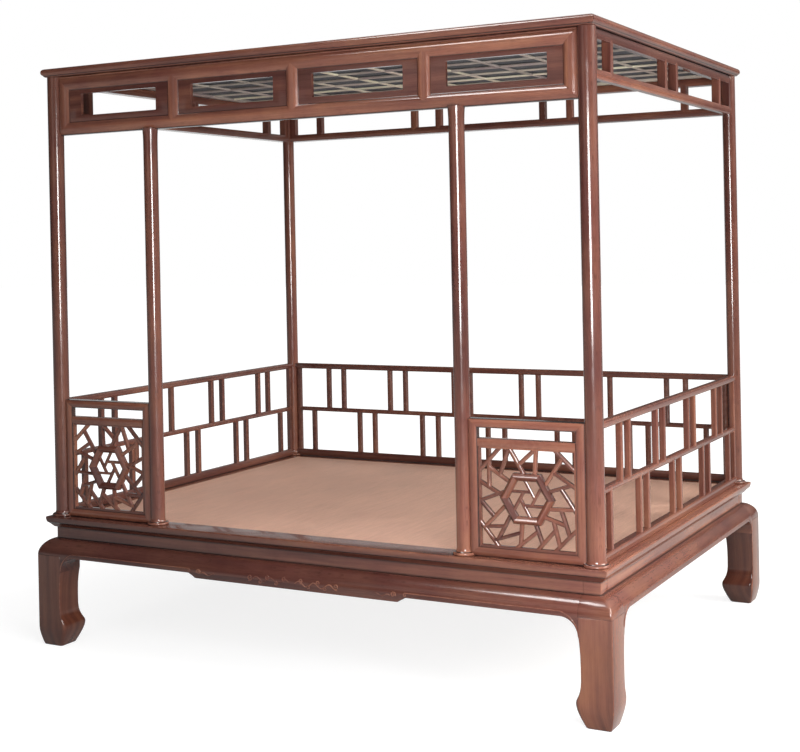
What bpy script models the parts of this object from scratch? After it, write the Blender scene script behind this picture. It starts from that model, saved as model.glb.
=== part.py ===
"""Six-post canopy bed: hoof-footed base, railings, front panels, friezes and a covered canopy.

Metres, +Z up. The front faces -Y, the floor is z = 0 and the bed is centred on the Z axis.
"""
import math

import bmesh
import bpy
from mathutils import Matrix

# Places that everything else hangs on
POST_X = 1.106  # corner post centre, from the middle, along the front
POST_Y = 0.840  # corner post centre, from the middle, front to back
INNER_POST_X = 0.6415  # inner front post centre
SEAT_TOP = 0.500
CANOPY_TOP = 2.252
GAP = 0.0003  # clearance between pieces that touch
CUT_MARGIN = 0.010  # how far a cutting tool reaches past what it cuts
ARC_STEPS = 5  # straight steps in a quarter curve

# Base: legs, aprons and waist
LEG_SIZE = 0.108
HOOF_HEIGHT = 0.114  # where the hoof starts to swell
HOOF_BELLY = 0.082  # height of its widest part
HOOF_FLARE = 0.016  # how far it swells inwards
SOLE_INSET_OUTER = 0.0135
SOLE_INSET_INNER = 0.003
WAIST_HEIGHT = 0.043
WAIST_SETBACK = 0.025  # behind the seat frame's edge
WAIST_THICK = 0.020
APRON_HEIGHT = 0.064
APRON_PROUD = 0.024  # beyond the seat frame's edge
SHOULDER_DROP = 0.060  # height of the rounded shoulder on legs and aprons
SPANDREL = 0.060  # curved end of an apron
SPANDREL_TIP = 0.006
SIDE_APRON_RISE = 0.008  # lower edge of the side aprons, above the front one's
APRON_DROP = 0.017  # how far the middle of the front apron hangs lower
APRON_DROP_HALF = 0.445
APRON_DROP_CHAMFER = 0.024

# Seat frame, mat and braces
SEAT_OVERHANG = 0.050  # beyond the post centres
SEAT_THICK = 0.043
SEAT_BAND = 0.020  # upright part of the moulded edge
SEAT_ARRIS = 0.003
SEAT_LIP = 0.003  # underside of the moulding, beyond the waist
SEAT_RAIL_WIDTH = 0.115
MAT_THICK = 0.010
MAT_LEDGE = 0.014  # width of the rail's ledge under the mat
MAT_SET = 0.0006  # mat below the rail's top
BRACE_X = 0.360
BRACE_WIDTH = 0.045
BRACE_HEIGHT = 0.022
BRACE_SAG = 0.012
BRACE_STEPS = 8

# Posts
FRONT_POST_RADIUS = 0.0305
BACK_POST_RADIUS = 0.0270
INNER_POST_RADIUS = 0.0270
POST_SIDES = 16
FOOT_HEIGHT = 0.032  # moulded foot of a post
FOOT_RIM = 0.008
FOOT_FLARE = 0.014
HEAD_HEIGHT = 0.060  # flared head of an inner post
HEAD_FLARE = 0.009

# Tenons
POST_TENON = 0.024
POST_TENON_SIZE = 0.026
HEAD_TENON = 0.016
HEAD_TENON_SIZE = 0.020
MORTISE_WEB = 0.004  # wood left between a post's mortise and a leg's
LEG_TENON_SIZE = 0.014
LEG_TENON_SHIFT = 0.014  # of each of a leg's two tenons, away from the seat frame's mitre
APRON_TENON = 0.022
APRON_TENON_HEIGHT = 0.026
APRON_TENON_THICK = 0.012
BAR_TENON = 0.010  # small tenons of the railings, braces and stiles
BAR_TENON_SIZE = 0.010

# Railings
RAILING_HEIGHT = 0.458  # above the seat frame
BAR = 0.025  # width of stiles and struts
BAR_DEPTH = 0.024
TOP_RAIL = 0.026
TOP_RAIL_DEPTH = 0.030
MIDDLE_RAIL = 0.022
BOTTOM_RAIL = 0.034
BOTTOM_RAIL_DEPTH = 0.030
STRUT_PAIR = 0.084  # between the two struts of a pair
BACK_BAYS = 6
SIDE_BAYS = 4

# Front panels
PANEL_DEPTH = 0.030
PANEL_STILE = 0.032
PANEL_TOP_RAIL = 0.032
PANEL_SLOT = 0.033  # open strip under the top rail
PANEL_SECOND_RAIL = 0.028
PANEL_BOTTOM_RAIL = 0.034
ICE_DEPTH = 0.016
ICE_RIM = 0.006
ICE_BAR = 0.011
HEXAGON_RADIUS = 0.097
HEXAGON_WALL = 0.022
HEXAGON_DEPTH = 0.042
PINWHEEL_RADIUS = 0.026
PINWHEEL_BAR = 0.009
PINWHEEL_DEPTH = 0.012

# Friezes
FRONT_FRIEZE_HEIGHT = 0.229
FRONT_FRIEZE_DEPTH = 0.036
FRIEZE_TOP_RAIL = 0.056
FRIEZE_FOOT_RAIL = 0.051
FRIEZE_END_STILE = 0.050
FRIEZE_MUNTIN = 0.055
INSETS = 4
INSET_THICK = 0.014
INSET_RECESS = 0.012
WINDOW_SIDE = 0.054  # inset panel beside its window
WINDOW_EDGE = 0.018  # inset panel above and below its window
OPEN_FRIEZE_HEIGHT = 0.164
OPEN_FRIEZE_DEPTH = 0.036
OPEN_FRIEZE_RAIL = 0.034
OPEN_FRIEZE_STILE = 0.026
OPEN_FRIEZE_STRUT = 0.032
OPEN_FRIEZE_PAIR = 0.130
OPEN_FRIEZE_END = 0.190  # end strut to the post's centre
BACK_FRIEZE_BAYS = 3
SIDE_FRIEZE_BAYS = 2

# Canopy
CANOPY_OVERHANG = 0.040  # beyond the post centres
CORNICE_THICK = 0.033
CORNICE_WIDTH = 0.095
CORNICE_ROUND = 0.012
CEILING_LEDGE = 0.006  # ceiling's bearing on the friezes
CEILING_THICK = 0.012
CEILING_BORDER = 0.030
CEILING_BAR = 0.015
CEILING_SPINE = 0.030  # wider bar along the middle
CEILING_COLUMNS = 10
CEILING_ROWS = 10
CLOTH_THICK = 0.002

# Cracked-ice bars: ends as shares of the field's half width and half height
ICE_BARS = (
    ((-1.03, 0.32), (-0.45, 0.00)), ((-0.79, 0.59), (-0.30, 0.275)), ((-0.79, 0.74), (-0.79, 0.17)),
    ((-0.52, 1.03), (-1.03, 0.47)), ((-0.355, 1.03), (-0.565, 0.44)), ((-0.355, 0.98), (-0.02, 0.40)),
    ((0.22, 1.03), (-0.19, 0.65)), ((0.195, 1.03), (0.15, 0.40)), ((0.53, 1.03), (1.03, 0.55)),
    ((0.73, 0.85), (0.36, 0.28)), ((0.53, 0.56), (1.03, 0.245)), ((0.40, 0.153), (0.91, 0.327)),
    ((0.686, 0.24), (1.03, -0.27)), ((0.42, -0.173), (0.95, -0.146)), ((0.68, -0.16), (0.85, -0.69)),
    ((0.30, -0.318), (0.77, -0.465)), ((0.52, -0.385), (0.645, -0.885)), ((1.03, -0.497), (0.51, -1.03)),
    ((0.12, -0.36), (0.297, -0.873)), ((0.58, -0.555), (0.16, -1.03)), ((0.22, -0.615), (-0.29, -1.03)),
    ((-0.11, -0.36), (-0.154, -0.925)), ((-0.12, -0.668), (-0.71, -0.871)), ((-0.28, -0.21), (-0.615, -0.835)),
    ((-0.40, -0.098), (-0.905, -0.626)), ((-0.47, -0.572), (-0.88, -0.603)), ((-1.03, -0.457), (-0.575, -1.03)),
    ((-0.97, -0.095), (-0.69, -0.395)), ((-1.03, -0.108), (-0.45, 0.128)),
)

# Levels and outer faces that follow
SEAT_BOTTOM = SEAT_TOP - SEAT_THICK
APRON_TOP = SEAT_BOTTOM - WAIST_HEIGHT
APRON_BOTTOM = APRON_TOP - APRON_HEIGHT
SEAT_X = POST_X + SEAT_OVERHANG
SEAT_Y = POST_Y + SEAT_OVERHANG
LEG_X = SEAT_X + APRON_PROUD
LEG_Y = SEAT_Y + APRON_PROUD
WAIST_X = SEAT_X - WAIST_SETBACK
WAIST_Y = SEAT_Y - WAIST_SETBACK
LEDGE_TOP = SEAT_TOP - MAT_SET - MAT_THICK - GAP
LEG_TENON = SEAT_THICK - POST_TENON - MORTISE_WEB
RAILING_TOP = SEAT_TOP + RAILING_HEIGHT
CORNICE_BOTTOM = CANOPY_TOP - CORNICE_THICK
FRIEZE_TOP = CORNICE_BOTTOM - GAP
FRONT_FRIEZE_BOTTOM = CORNICE_BOTTOM - FRONT_FRIEZE_HEIGHT
OPEN_FRIEZE_BOTTOM = CORNICE_BOTTOM - OPEN_FRIEZE_HEIGHT
CEILING_SETBACK = OPEN_FRIEZE_DEPTH / 2 - CEILING_LEDGE  # ceiling's edge inside the post centres
CEILING_RABBET = CEILING_THICK + CLOTH_THICK + 3 * GAP

# Where a flat outline (u, v) of thickness w stands
FRONT_VIEW = Matrix(((1, 0, 0, 0), (0, 0, -1, 0), (0, 1, 0, 0), (0, 0, 0, 1)))  # u along X, v up
SIDE_VIEW = Matrix(((0, 0, 1, 0), (1, 0, 0, 0), (0, 1, 0, 0), (0, 0, 0, 1)))  # u along Y, v up
PLAN_VIEW = Matrix.Identity(4)  # u along X, v along Y

# Finishes: colour, roughness
DARK_WOOD = ((0.155, 0.058, 0.038), 0.28)
PALE_WOOD = ((0.420, 0.330, 0.240), 0.60)
WOVEN_CANE = ((0.330, 0.190, 0.120), 0.70)
INDIGO_CLOTH = ((0.018, 0.024, 0.045), 0.90)


def clear_scene():
    """Removes whatever the scene holds."""
    for item in list(bpy.data.objects):
        bpy.data.objects.remove(item, do_unlink=True)


def collection(name):
    """Makes a collection in the scene."""
    group = bpy.data.collections.new(name)
    bpy.context.scene.collection.children.link(group)
    return group


def dress(piece, finish):
    """Gives a piece a Principled material of its own."""
    colour, roughness = finish
    material = bpy.data.materials.new(piece.name + "_finish")
    material.use_nodes = True
    shader = material.node_tree.nodes["Principled BSDF"]
    shader.inputs["Base Color"].default_value = (*colour, 1.0)
    shader.inputs["Roughness"].default_value = roughness
    shader.inputs["Metallic"].default_value = 0.0
    piece.data.materials.clear()
    piece.data.materials.append(material)


def add_piece(name, mesh, matrix=PLAN_VIEW, finish=DARK_WOOD):
    """Puts a mesh into the bed as a named piece."""
    piece = bpy.data.objects.new(name, mesh)
    BED.objects.link(piece)
    piece.parent = ORIGIN
    piece.matrix_world = matrix
    dress(piece, finish)
    return piece


def add_tool(name, mesh, matrix=PLAN_VIEW):
    """Makes a hidden shape that cuts or joins a piece."""
    tool = bpy.data.objects.new(name, mesh)
    TOOLS.objects.link(tool)
    tool.matrix_world = matrix
    tool.hide_render = True
    tool.display_type = "WIRE"
    return tool


def combine(piece, tool, operation, joins_itself=False):
    """Adds a Boolean of a tool to a piece."""
    modifier = piece.modifiers.new(tool.name, "BOOLEAN")
    modifier.operation = operation
    modifier.object = tool
    modifier.solver = "EXACT"
    modifier.use_self = joins_itself


def plate_mesh(name, loops, depth):
    """Fills closed loops, the inner ones as holes, and gives them a thickness about w = 0."""
    curve = bpy.data.curves.new(name, "CURVE")
    curve.dimensions = "2D"
    curve.fill_mode = "BOTH"
    curve.extrude = depth / 2
    for loop in loops:
        spline = curve.splines.new("POLY")
        spline.points.add(len(loop) - 1)
        for point, (u, v) in zip(spline.points, loop):
            point.co = (u, v, 0.0, 1.0)
        spline.use_cyclic_u = True
    guide = bpy.data.objects.new(name, curve)
    TOOLS.objects.link(guide)
    evaluated = guide.evaluated_get(bpy.context.evaluated_depsgraph_get())
    mesh = bpy.data.meshes.new_from_object(evaluated)
    bpy.data.objects.remove(guide, do_unlink=True)
    bpy.data.curves.remove(curve)
    weld(mesh)
    return mesh


def weld(mesh):
    """Closes a mesh's seams and turns its faces outwards."""
    shape = bmesh.new()
    shape.from_mesh(mesh)
    bmesh.ops.remove_doubles(shape, verts=shape.verts, dist=1e-6)
    bmesh.ops.recalc_face_normals(shape, faces=shape.faces)
    shape.to_mesh(mesh)
    shape.free()


def boxes_mesh(name, boxes):
    """One mesh of boxes, each given by its lowest and highest corner."""
    shape = bmesh.new()
    for low, high in boxes:
        middle = [(a + b) / 2 for a, b in zip(low, high)]
        size = [b - a for a, b in zip(low, high)]
        bmesh.ops.create_cube(shape, size=1.0, matrix=Matrix.Translation(middle) @ Matrix.Diagonal((*size, 1.0)))
    mesh = bpy.data.meshes.new(name)
    shape.to_mesh(mesh)
    shape.free()
    return mesh


def bars_mesh(name, bars, width, depth):
    """One mesh of straight bars in the (u, v) plane, which may cross."""
    shape = bmesh.new()
    for (u0, v0), (u1, v1) in bars:
        place = Matrix.Translation(((u0 + u1) / 2, (v0 + v1) / 2, 0.0))
        turn = Matrix.Rotation(math.atan2(v1 - v0, u1 - u0), 4, "Z")
        size = Matrix.Diagonal((math.hypot(u1 - u0, v1 - v0), width, depth, 1.0))
        bmesh.ops.create_cube(shape, size=1.0, matrix=place @ turn @ size)
    mesh = bpy.data.meshes.new(name)
    shape.to_mesh(mesh)
    shape.free()
    return mesh


def box_piece(name, low, high, finish=DARK_WOOD):
    """A plain squared piece."""
    return add_piece(name, boxes_mesh(name, [(low, high)]), finish=finish)


def add_tenons(piece, boxes):
    """Joins tenons onto a piece."""
    combine(piece, add_tool(piece.name + "_tenons", boxes_mesh(piece.name, boxes)), "UNION")


def cut_mortises(piece, boxes):
    """Cuts sockets into a piece, one clearance wider than the tenons they take."""
    roomy = [([a - GAP for a in low], [b + GAP for b in high]) for low, high in boxes]
    combine(piece, add_tool(piece.name + "_mortises", boxes_mesh(piece.name, roomy)), "DIFFERENCE")


def rectangle(u0, v0, u1, v1):
    """Corner points of an upright rectangle."""
    return [(u0, v0), (u1, v0), (u1, v1), (u0, v1)]


def quarter(centre, radii, start):
    """Points of a quarter of an ellipse, anticlockwise from a start angle in degrees."""
    points = []
    for step in range(ARC_STEPS + 1):
        angle = math.radians(start + 90 * step / ARC_STEPS)
        points.append((centre[0] + radii[0] * math.cos(angle), centre[1] + radii[1] * math.sin(angle)))
    return points


def signed(points, sign):
    """Mirrors points to one side of the bed."""
    return [(sign * u, v) for u, v in points]


def upright_box(view, distance, depth, u0, v0, u1, v1):
    """A box from a span along a side, two heights, and a depth about that side's distance."""
    near, far = distance - depth / 2, distance + depth / 2
    if view is FRONT_VIEW:
        return (u0, near, v0), (u1, far, v1)
    return (near, u0, v0), (far, u1, v1)


def at(view, distance):
    """Places an outline's view at a distance along its thickness: Y for the front view, X for the side view."""
    shift = (0.0, distance, 0.0) if view is FRONT_VIEW else (distance, 0.0, 0.0)
    return Matrix.Translation(shift) @ view


# Base

def shoulder(outer, waist):
    """Rounded shoulder, from the outer face up to the waist."""
    return quarter((waist, APRON_TOP - SHOULDER_DROP), (outer - waist, SHOULDER_DROP), 0)


def leg_outline(outer, waist):
    """One elevation of a leg: sole, hoof, shaft, shoulder and neck."""
    inner = outer - LEG_SIZE
    return [
        (inner + SOLE_INSET_INNER, 0.0),
        (outer - SOLE_INSET_OUTER, 0.0),
        (outer, HOOF_BELLY),
        *shoulder(outer, waist),
        (waist, SEAT_BOTTOM - GAP),
        (inner, SEAT_BOTTOM - GAP),
        (inner, HOOF_HEIGHT),
        (inner - HOOF_FLARE, HOOF_BELLY),
    ]


def leg_tenons(x_sign, y_sign):
    """A leg's two tenons, one into each seat rail at its corner: (along the front, along the side)."""
    neck_x = (WAIST_X + LEG_X - LEG_SIZE) / 2
    neck_y = (WAIST_Y + LEG_Y - LEG_SIZE) / 2
    half = LEG_TENON_SIZE / 2
    boxes = []
    for shift in (LEG_TENON_SHIFT, -LEG_TENON_SHIFT):
        x = x_sign * (neck_x - shift)
        y = y_sign * (neck_y + shift)
        root = SEAT_BOTTOM - CUT_MARGIN
        boxes.append(((x - half, y - half, root), (x + half, y + half, SEAT_BOTTOM + LEG_TENON)))
    return boxes


def apron_tenon(along, across, sign_along, sign_across):
    """An apron's end tenon, as a span along the apron, a span across it and a span of heights."""
    end = along - LEG_SIZE
    middle = across - LEG_SIZE / 2
    low = APRON_TOP - SHOULDER_DROP
    return [
        sorted((sign_along * (end - CUT_MARGIN), sign_along * (end + APRON_TENON))),
        sorted((sign_across * (middle - APRON_TENON_THICK / 2), sign_across * (middle + APRON_TENON_THICK / 2))),
        [low, low + APRON_TENON_HEIGHT],
    ]


def front_tenon(x_sign, y_sign):
    """End tenon of the front or back apron."""
    x, y, z = apron_tenon(LEG_X, LEG_Y, x_sign, y_sign)
    return (x[0], y[0], z[0]), (x[1], y[1], z[1])


def side_tenon(x_sign, y_sign):
    """End tenon of a side apron."""
    y, x, z = apron_tenon(LEG_Y, LEG_X, y_sign, x_sign)
    return (x[0], y[0], z[0]), (x[1], y[1], z[1])


def build_leg(name, x_sign, y_sign):
    """A leg: two elevations crossed, with tenons above and sockets for the aprons."""
    middle_x = x_sign * (LEG_X - LEG_SIZE / 2)
    middle_y = y_sign * (LEG_Y - LEG_SIZE / 2)
    reach = LEG_SIZE + 4 * HOOF_FLARE
    front = plate_mesh(name, [signed(leg_outline(LEG_X, WAIST_X), x_sign)], reach)
    side = plate_mesh(name, [signed(leg_outline(LEG_Y, WAIST_Y), y_sign)], reach)
    leg = add_piece(name, front, at(FRONT_VIEW, middle_y))
    combine(leg, add_tool(name + "_side", side, at(SIDE_VIEW, middle_x)), "INTERSECT")
    add_tenons(leg, leg_tenons(x_sign, y_sign))
    cut_mortises(leg, [front_tenon(x_sign, y_sign), side_tenon(x_sign, y_sign)])


def apron_profile(outer, waist):
    """Section of an apron: upright back, rounded face."""
    low = APRON_BOTTOM - SPANDREL - APRON_DROP - CUT_MARGIN
    back = waist - WAIST_THICK
    return [(back, low), (outer, low), *shoulder(outer, waist), (back, APRON_TOP)]


def apron_half(end, bottom, drop):
    """Right half of an apron's elevation, from the middle of its lower edge round to its top corner."""
    points = []
    if drop:
        points.append((APRON_DROP_HALF - APRON_DROP_CHAMFER, bottom - drop))
        points.append((APRON_DROP_HALF, bottom))
    corner = (end - SPANDREL_TIP - SPANDREL, bottom - SPANDREL)
    points += list(reversed(quarter(corner, (SPANDREL, SPANDREL), 0)))
    points += [(end, bottom - SPANDREL), (end, APRON_TOP + CUT_MARGIN)]
    return points


def apron_outline(end, bottom, drop):
    """Elevation of an apron: curved ends and, at the front, a lower middle."""
    half = apron_half(end, bottom, drop)
    return half + list(reversed(signed(half, -1)))


def build_front_apron(name, y_sign, drop):
    """The front or back apron."""
    end = LEG_X - LEG_SIZE - GAP
    section = plate_mesh(name, [signed(apron_profile(LEG_Y, WAIST_Y), y_sign)], 2 * end)
    apron = add_piece(name, section, SIDE_VIEW)
    elevation = plate_mesh(name, [apron_outline(end + CUT_MARGIN, APRON_BOTTOM, drop)], LEG_SIZE)
    tool = add_tool(name + "_elevation", elevation, at(FRONT_VIEW, y_sign * (LEG_Y - LEG_SIZE / 2 + CUT_MARGIN)))
    combine(apron, tool, "INTERSECT")
    add_tenons(apron, [front_tenon(x_sign, y_sign) for x_sign in (-1, 1)])


def build_side_apron(name, x_sign):
    """The left or right apron."""
    end = LEG_Y - LEG_SIZE - GAP
    section = plate_mesh(name, [signed(apron_profile(LEG_X, WAIST_X), x_sign)], 2 * end)
    apron = add_piece(name, section, FRONT_VIEW)
    elevation = plate_mesh(name, [apron_outline(end + CUT_MARGIN, APRON_BOTTOM + SIDE_APRON_RISE, 0.0)], LEG_SIZE)
    tool = add_tool(name + "_elevation", elevation, at(SIDE_VIEW, x_sign * (LEG_X - LEG_SIZE / 2 + CUT_MARGIN)))
    combine(apron, tool, "INTERSECT")
    add_tenons(apron, [side_tenon(x_sign, y_sign) for y_sign in (-1, 1)])


def build_waist():
    """Four recessed boards between the legs' necks."""
    low, high = APRON_TOP + GAP, SEAT_BOTTOM - GAP
    end_x = LEG_X - LEG_SIZE - GAP
    end_y = LEG_Y - LEG_SIZE - GAP
    for name, sign in (("waist_front", -1), ("waist_back", 1)):
        y = sorted((sign * (WAIST_Y - WAIST_THICK), sign * WAIST_Y))
        box_piece(name, (-end_x, y[0], low), (end_x, y[1], high))
    for name, sign in (("waist_left", -1), ("waist_right", 1)):
        x = sorted((sign * (WAIST_X - WAIST_THICK), sign * WAIST_X))
        box_piece(name, (x[0], -end_y, low), (x[1], end_y, high))


# Seat

def seat_profile(outer, waist):
    """Section of a seat rail: moulded edge outside, ledge for the mat inside."""
    inner = outer - SEAT_RAIL_WIDTH
    band_foot = SEAT_TOP - SEAT_BAND
    cove = quarter((waist + SEAT_LIP, band_foot), (outer - waist - SEAT_LIP, band_foot - SEAT_BOTTOM), 270)
    return [
        (inner, SEAT_BOTTOM),
        *cove,
        (outer, SEAT_TOP - SEAT_ARRIS),
        (outer - SEAT_ARRIS, SEAT_TOP),
        (inner + MAT_LEDGE, SEAT_TOP),
        (inner + MAT_LEDGE, LEDGE_TOP),
        (inner, LEDGE_TOP),
    ]


def mitred_rail(name, profile, view, reach):
    """A rail of one section, with ends cut at 45 degrees: its half length is a point's distance out plus reach."""
    mesh = plate_mesh(name, [profile], CUT_MARGIN)
    for vertex in mesh.vertices:  # both ends go out to the mitres
        vertex.co.z = math.copysign(abs(vertex.co.x) + reach - GAP, vertex.co.z)
    weld(mesh)
    return add_piece(name, mesh, view)


def post_tenon(x, y):
    """Tenon under a post."""
    half = POST_TENON_SIZE / 2
    return (x - half, y - half, SEAT_TOP - POST_TENON), (x + half, y + half, SEAT_TOP + FOOT_RIM)


def brace_tenons(x):
    """Tenons at the ends of a brace."""
    half = BAR_TENON_SIZE / 2
    face = SEAT_Y - SEAT_RAIL_WIDTH
    level = (LEDGE_TOP + LEDGE_TOP - BRACE_HEIGHT) / 2
    boxes = []
    for y0, y1 in ((-face - BAR_TENON, -face + CUT_MARGIN), (face - CUT_MARGIN, face + BAR_TENON)):
        boxes.append(((x - half, y0, level - half), (x + half, y1, level + half)))
    return boxes


def build_seat():
    """Four mitred rails, socketed for posts, legs and braces."""
    corner_posts = [post_tenon(x * POST_X, y * POST_Y) for x in (-1, 1) for y in (-1, 1)]
    inner_posts = [post_tenon(x * INNER_POST_X, -POST_Y) for x in (-1, 1)]
    legs = [leg_tenons(x, y) for x in (-1, 1) for y in (-1, 1)]
    braces = brace_tenons(-BRACE_X) + brace_tenons(BRACE_X)
    long_sockets = corner_posts + [pair[0] for pair in legs] + braces
    short_sockets = corner_posts + [pair[1] for pair in legs]
    for name, sign in (("seat_rail_front", -1), ("seat_rail_back", 1)):
        profile = signed(seat_profile(SEAT_Y, WAIST_Y), sign)
        rail = mitred_rail(name, profile, SIDE_VIEW, SEAT_X - SEAT_Y)
        cut_mortises(rail, long_sockets + (inner_posts if sign < 0 else []))
    for name, sign in (("seat_rail_left", -1), ("seat_rail_right", 1)):
        profile = signed(seat_profile(SEAT_X, WAIST_X), sign)
        rail = mitred_rail(name, profile, FRONT_VIEW, SEAT_Y - SEAT_X)
        cut_mortises(rail, short_sockets)


def build_mat():
    """The woven mat, lying on the rails' ledges."""
    half_x = SEAT_X - SEAT_RAIL_WIDTH + MAT_LEDGE - GAP
    half_y = SEAT_Y - SEAT_RAIL_WIDTH + MAT_LEDGE - GAP
    top = SEAT_TOP - MAT_SET
    box_piece("woven_mat", (-half_x, -half_y, top - MAT_THICK), (half_x, half_y, top), WOVEN_CANE)


def build_brace(name, x):
    """A brace under the mat, bent down in the middle."""
    end = SEAT_Y - SEAT_RAIL_WIDTH - GAP
    top = []
    for step in range(BRACE_STEPS + 1):
        share = 2 * step / BRACE_STEPS - 1
        top.append((end * share, LEDGE_TOP - BRACE_SAG * (1 - share * share)))
    foot = [(y, z - BRACE_HEIGHT) for y, z in reversed(top)]
    brace = add_piece(name, plate_mesh(name, [top + foot], BRACE_WIDTH), at(SIDE_VIEW, x))
    add_tenons(brace, brace_tenons(x))


# Posts

def foot_profile(radius, grow, base):
    """Outer line of a post's moulded foot, going down: a hollow flare and an upright rim."""
    top = SEAT_TOP + FOOT_HEIGHT + grow
    rim = SEAT_TOP + FOOT_RIM + grow
    flare = quarter((radius + grow + FOOT_FLARE, top), (FOOT_FLARE, top - rim), 180)
    return [*flare, (radius + grow + FOOT_FLARE, base), (0.0, base)]


def turned_mesh(name, profile):
    """The bare line that a Screw modifier turns."""
    shape = bmesh.new()
    line = [shape.verts.new((radius, 0.0, z)) for radius, z in profile]
    for a, b in zip(line, line[1:]):
        shape.edges.new((a, b))
    mesh = bpy.data.meshes.new(name)
    shape.to_mesh(mesh)
    shape.free()
    return mesh


def turn(piece):
    """Turns an object's line about its own Z axis."""
    screw = piece.modifiers.new("turned", "SCREW")
    screw.angle = 2 * math.pi
    screw.steps = POST_SIDES
    screw.render_steps = POST_SIDES
    screw.use_merge_vertices = True
    screw.merge_threshold = 1e-6
    screw.use_smooth_shade = True


def add_scribe(name, x, y, radius):
    """Tool that fits rails, stiles and friezes round a post, one clearance away."""
    top = FRIEZE_TOP + CUT_MARGIN
    profile = [(0.0, top), (radius + GAP, top), *foot_profile(radius, GAP, SEAT_TOP - CUT_MARGIN)]
    tool = add_tool(name, turned_mesh(name, profile), Matrix.Translation((x, y, 0.0)))
    turn(tool)
    return tool


def build_post(name, x, y, radius, head, tip):
    """A turned post with a tenon at each end. The head profile is its upper end, going down from the axis."""
    profile = [*head, *foot_profile(radius, 0.0, SEAT_TOP + GAP)]
    post = add_piece(name, turned_mesh(name, profile), Matrix.Translation((x, y, 0.0)))
    turn(post)
    add_tenons(post, [post_tenon(x, y), tip])


def canopy_tenon(x, y):
    """Tenon on top of a corner post."""
    half = HEAD_TENON_SIZE / 2
    return (x - half, y - half, FRIEZE_TOP - CUT_MARGIN), (x + half, y + half, CORNICE_BOTTOM + HEAD_TENON)


def inner_tenon(x):
    """Tenon on top of an inner post."""
    half = HEAD_TENON_SIZE / 2
    top = FRONT_FRIEZE_BOTTOM + HEAD_TENON - GAP
    return (x - half, -POST_Y - half, FRONT_FRIEZE_BOTTOM - CUT_MARGIN), (x + half, -POST_Y + half, top)


def build_posts():
    """Six posts: round corner posts up to the cornice, and inner ones that flare under the front frieze."""
    for side, x_sign in (("left", -1), ("right", 1)):
        x = x_sign * POST_X
        for row, y_sign, radius in (("front", -1, FRONT_POST_RADIUS), ("back", 1, BACK_POST_RADIUS)):
            y = y_sign * POST_Y
            head = [(0.0, FRIEZE_TOP), (radius, FRIEZE_TOP)]
            build_post(f"post_{row}_{side}", x, y, radius, head, canopy_tenon(x, y))
        x = x_sign * INNER_POST_X
        top = FRONT_FRIEZE_BOTTOM - GAP
        radius = INNER_POST_RADIUS
        flare = quarter((radius + HEAD_FLARE, top - HEAD_HEIGHT), (HEAD_FLARE, HEAD_HEIGHT), 90)
        build_post(f"post_inner_{side}", x, -POST_Y, radius, [(0.0, top), *flare], inner_tenon(x))


# Railings

class Run:
    """The straight run of a railing between two posts."""

    def __init__(self, name, view, distance, ends, radii, scribes, bays):
        self.name = name
        self.view = view
        self.distance = distance  # where the run stands along the view's thickness
        self.ends = ends  # post centres along the run
        self.radii = radii
        self.scribes = scribes  # tools that fit pieces round the two posts
        self.bays = bays

    def faces(self):
        """Inner faces of the two stiles."""
        return self.ends[0] + self.radii[0] + BAR, self.ends[1] - self.radii[1] - BAR

    def box(self, u0, u1, depth, low, high):
        """A box from a span along the run, a depth and two heights."""
        return upright_box(self.view, self.distance, depth, u0, low, u1, high)

    def struts(self):
        """Centres of the struts in the upper and the lower row, in pairs set half a bay apart."""
        first = self.faces()[0] - BAR / 2 + STRUT_PAIR / 2
        last = self.faces()[1] + BAR / 2 - STRUT_PAIR / 2
        pitch = (last - first) / self.bays
        half = STRUT_PAIR / 2
        upper = [first + pitch * (i + 0.5) + side for i in range(self.bays) for side in (-half, half)]
        lower = [first + pitch * i + side for i in range(self.bays + 1) for side in (-half, half)]
        return upper, lower[1:-1]


def stile_tenons(run, centre):
    """Tenons at the foot and head of a stile."""
    half = BAR_TENON_SIZE / 2
    foot = SEAT_TOP + BOTTOM_RAIL + GAP
    head = RAILING_TOP - TOP_RAIL
    low = run.box(centre - half, centre + half, BAR_TENON_SIZE, foot - BAR_TENON, foot + BAR_TENON)
    high = run.box(centre - half, centre + half, BAR_TENON_SIZE, head - BAR_TENON, head + BAR_TENON)
    return [low, high]


def middle_rail_span():
    """Lower and upper face of the middle rail, halfway between the other two."""
    middle = (SEAT_TOP + GAP + BOTTOM_RAIL + RAILING_TOP - TOP_RAIL) / 2
    return middle - MIDDLE_RAIL / 2, middle + MIDDLE_RAIL / 2


def middle_tenons(run):
    """Tenons at the ends of the middle rail."""
    low, high = middle_rail_span()
    level = (low + high) / 2
    half = BAR_TENON_SIZE / 2
    left, right = run.faces()
    return [
        run.box(left - BAR_TENON, left + CUT_MARGIN, BAR_TENON_SIZE, level - half, level + half),
        run.box(right - CUT_MARGIN, right + BAR_TENON, BAR_TENON_SIZE, level - half, level + half),
    ]


def strut_boxes(run):
    """Struts standing on the middle rail and hanging under it, each rooted in the rail."""
    low, high = middle_rail_span()
    root = (low + high) / 2
    head = RAILING_TOP - TOP_RAIL - GAP
    foot = SEAT_TOP + GAP + BOTTOM_RAIL + GAP
    half = BAR / 2
    upper, lower = run.struts()
    standing = [run.box(u - half, u + half, BAR_DEPTH, root, head) for u in upper]
    hanging = [run.box(u - half, u + half, BAR_DEPTH, foot, root) for u in lower]
    return standing + hanging


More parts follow.
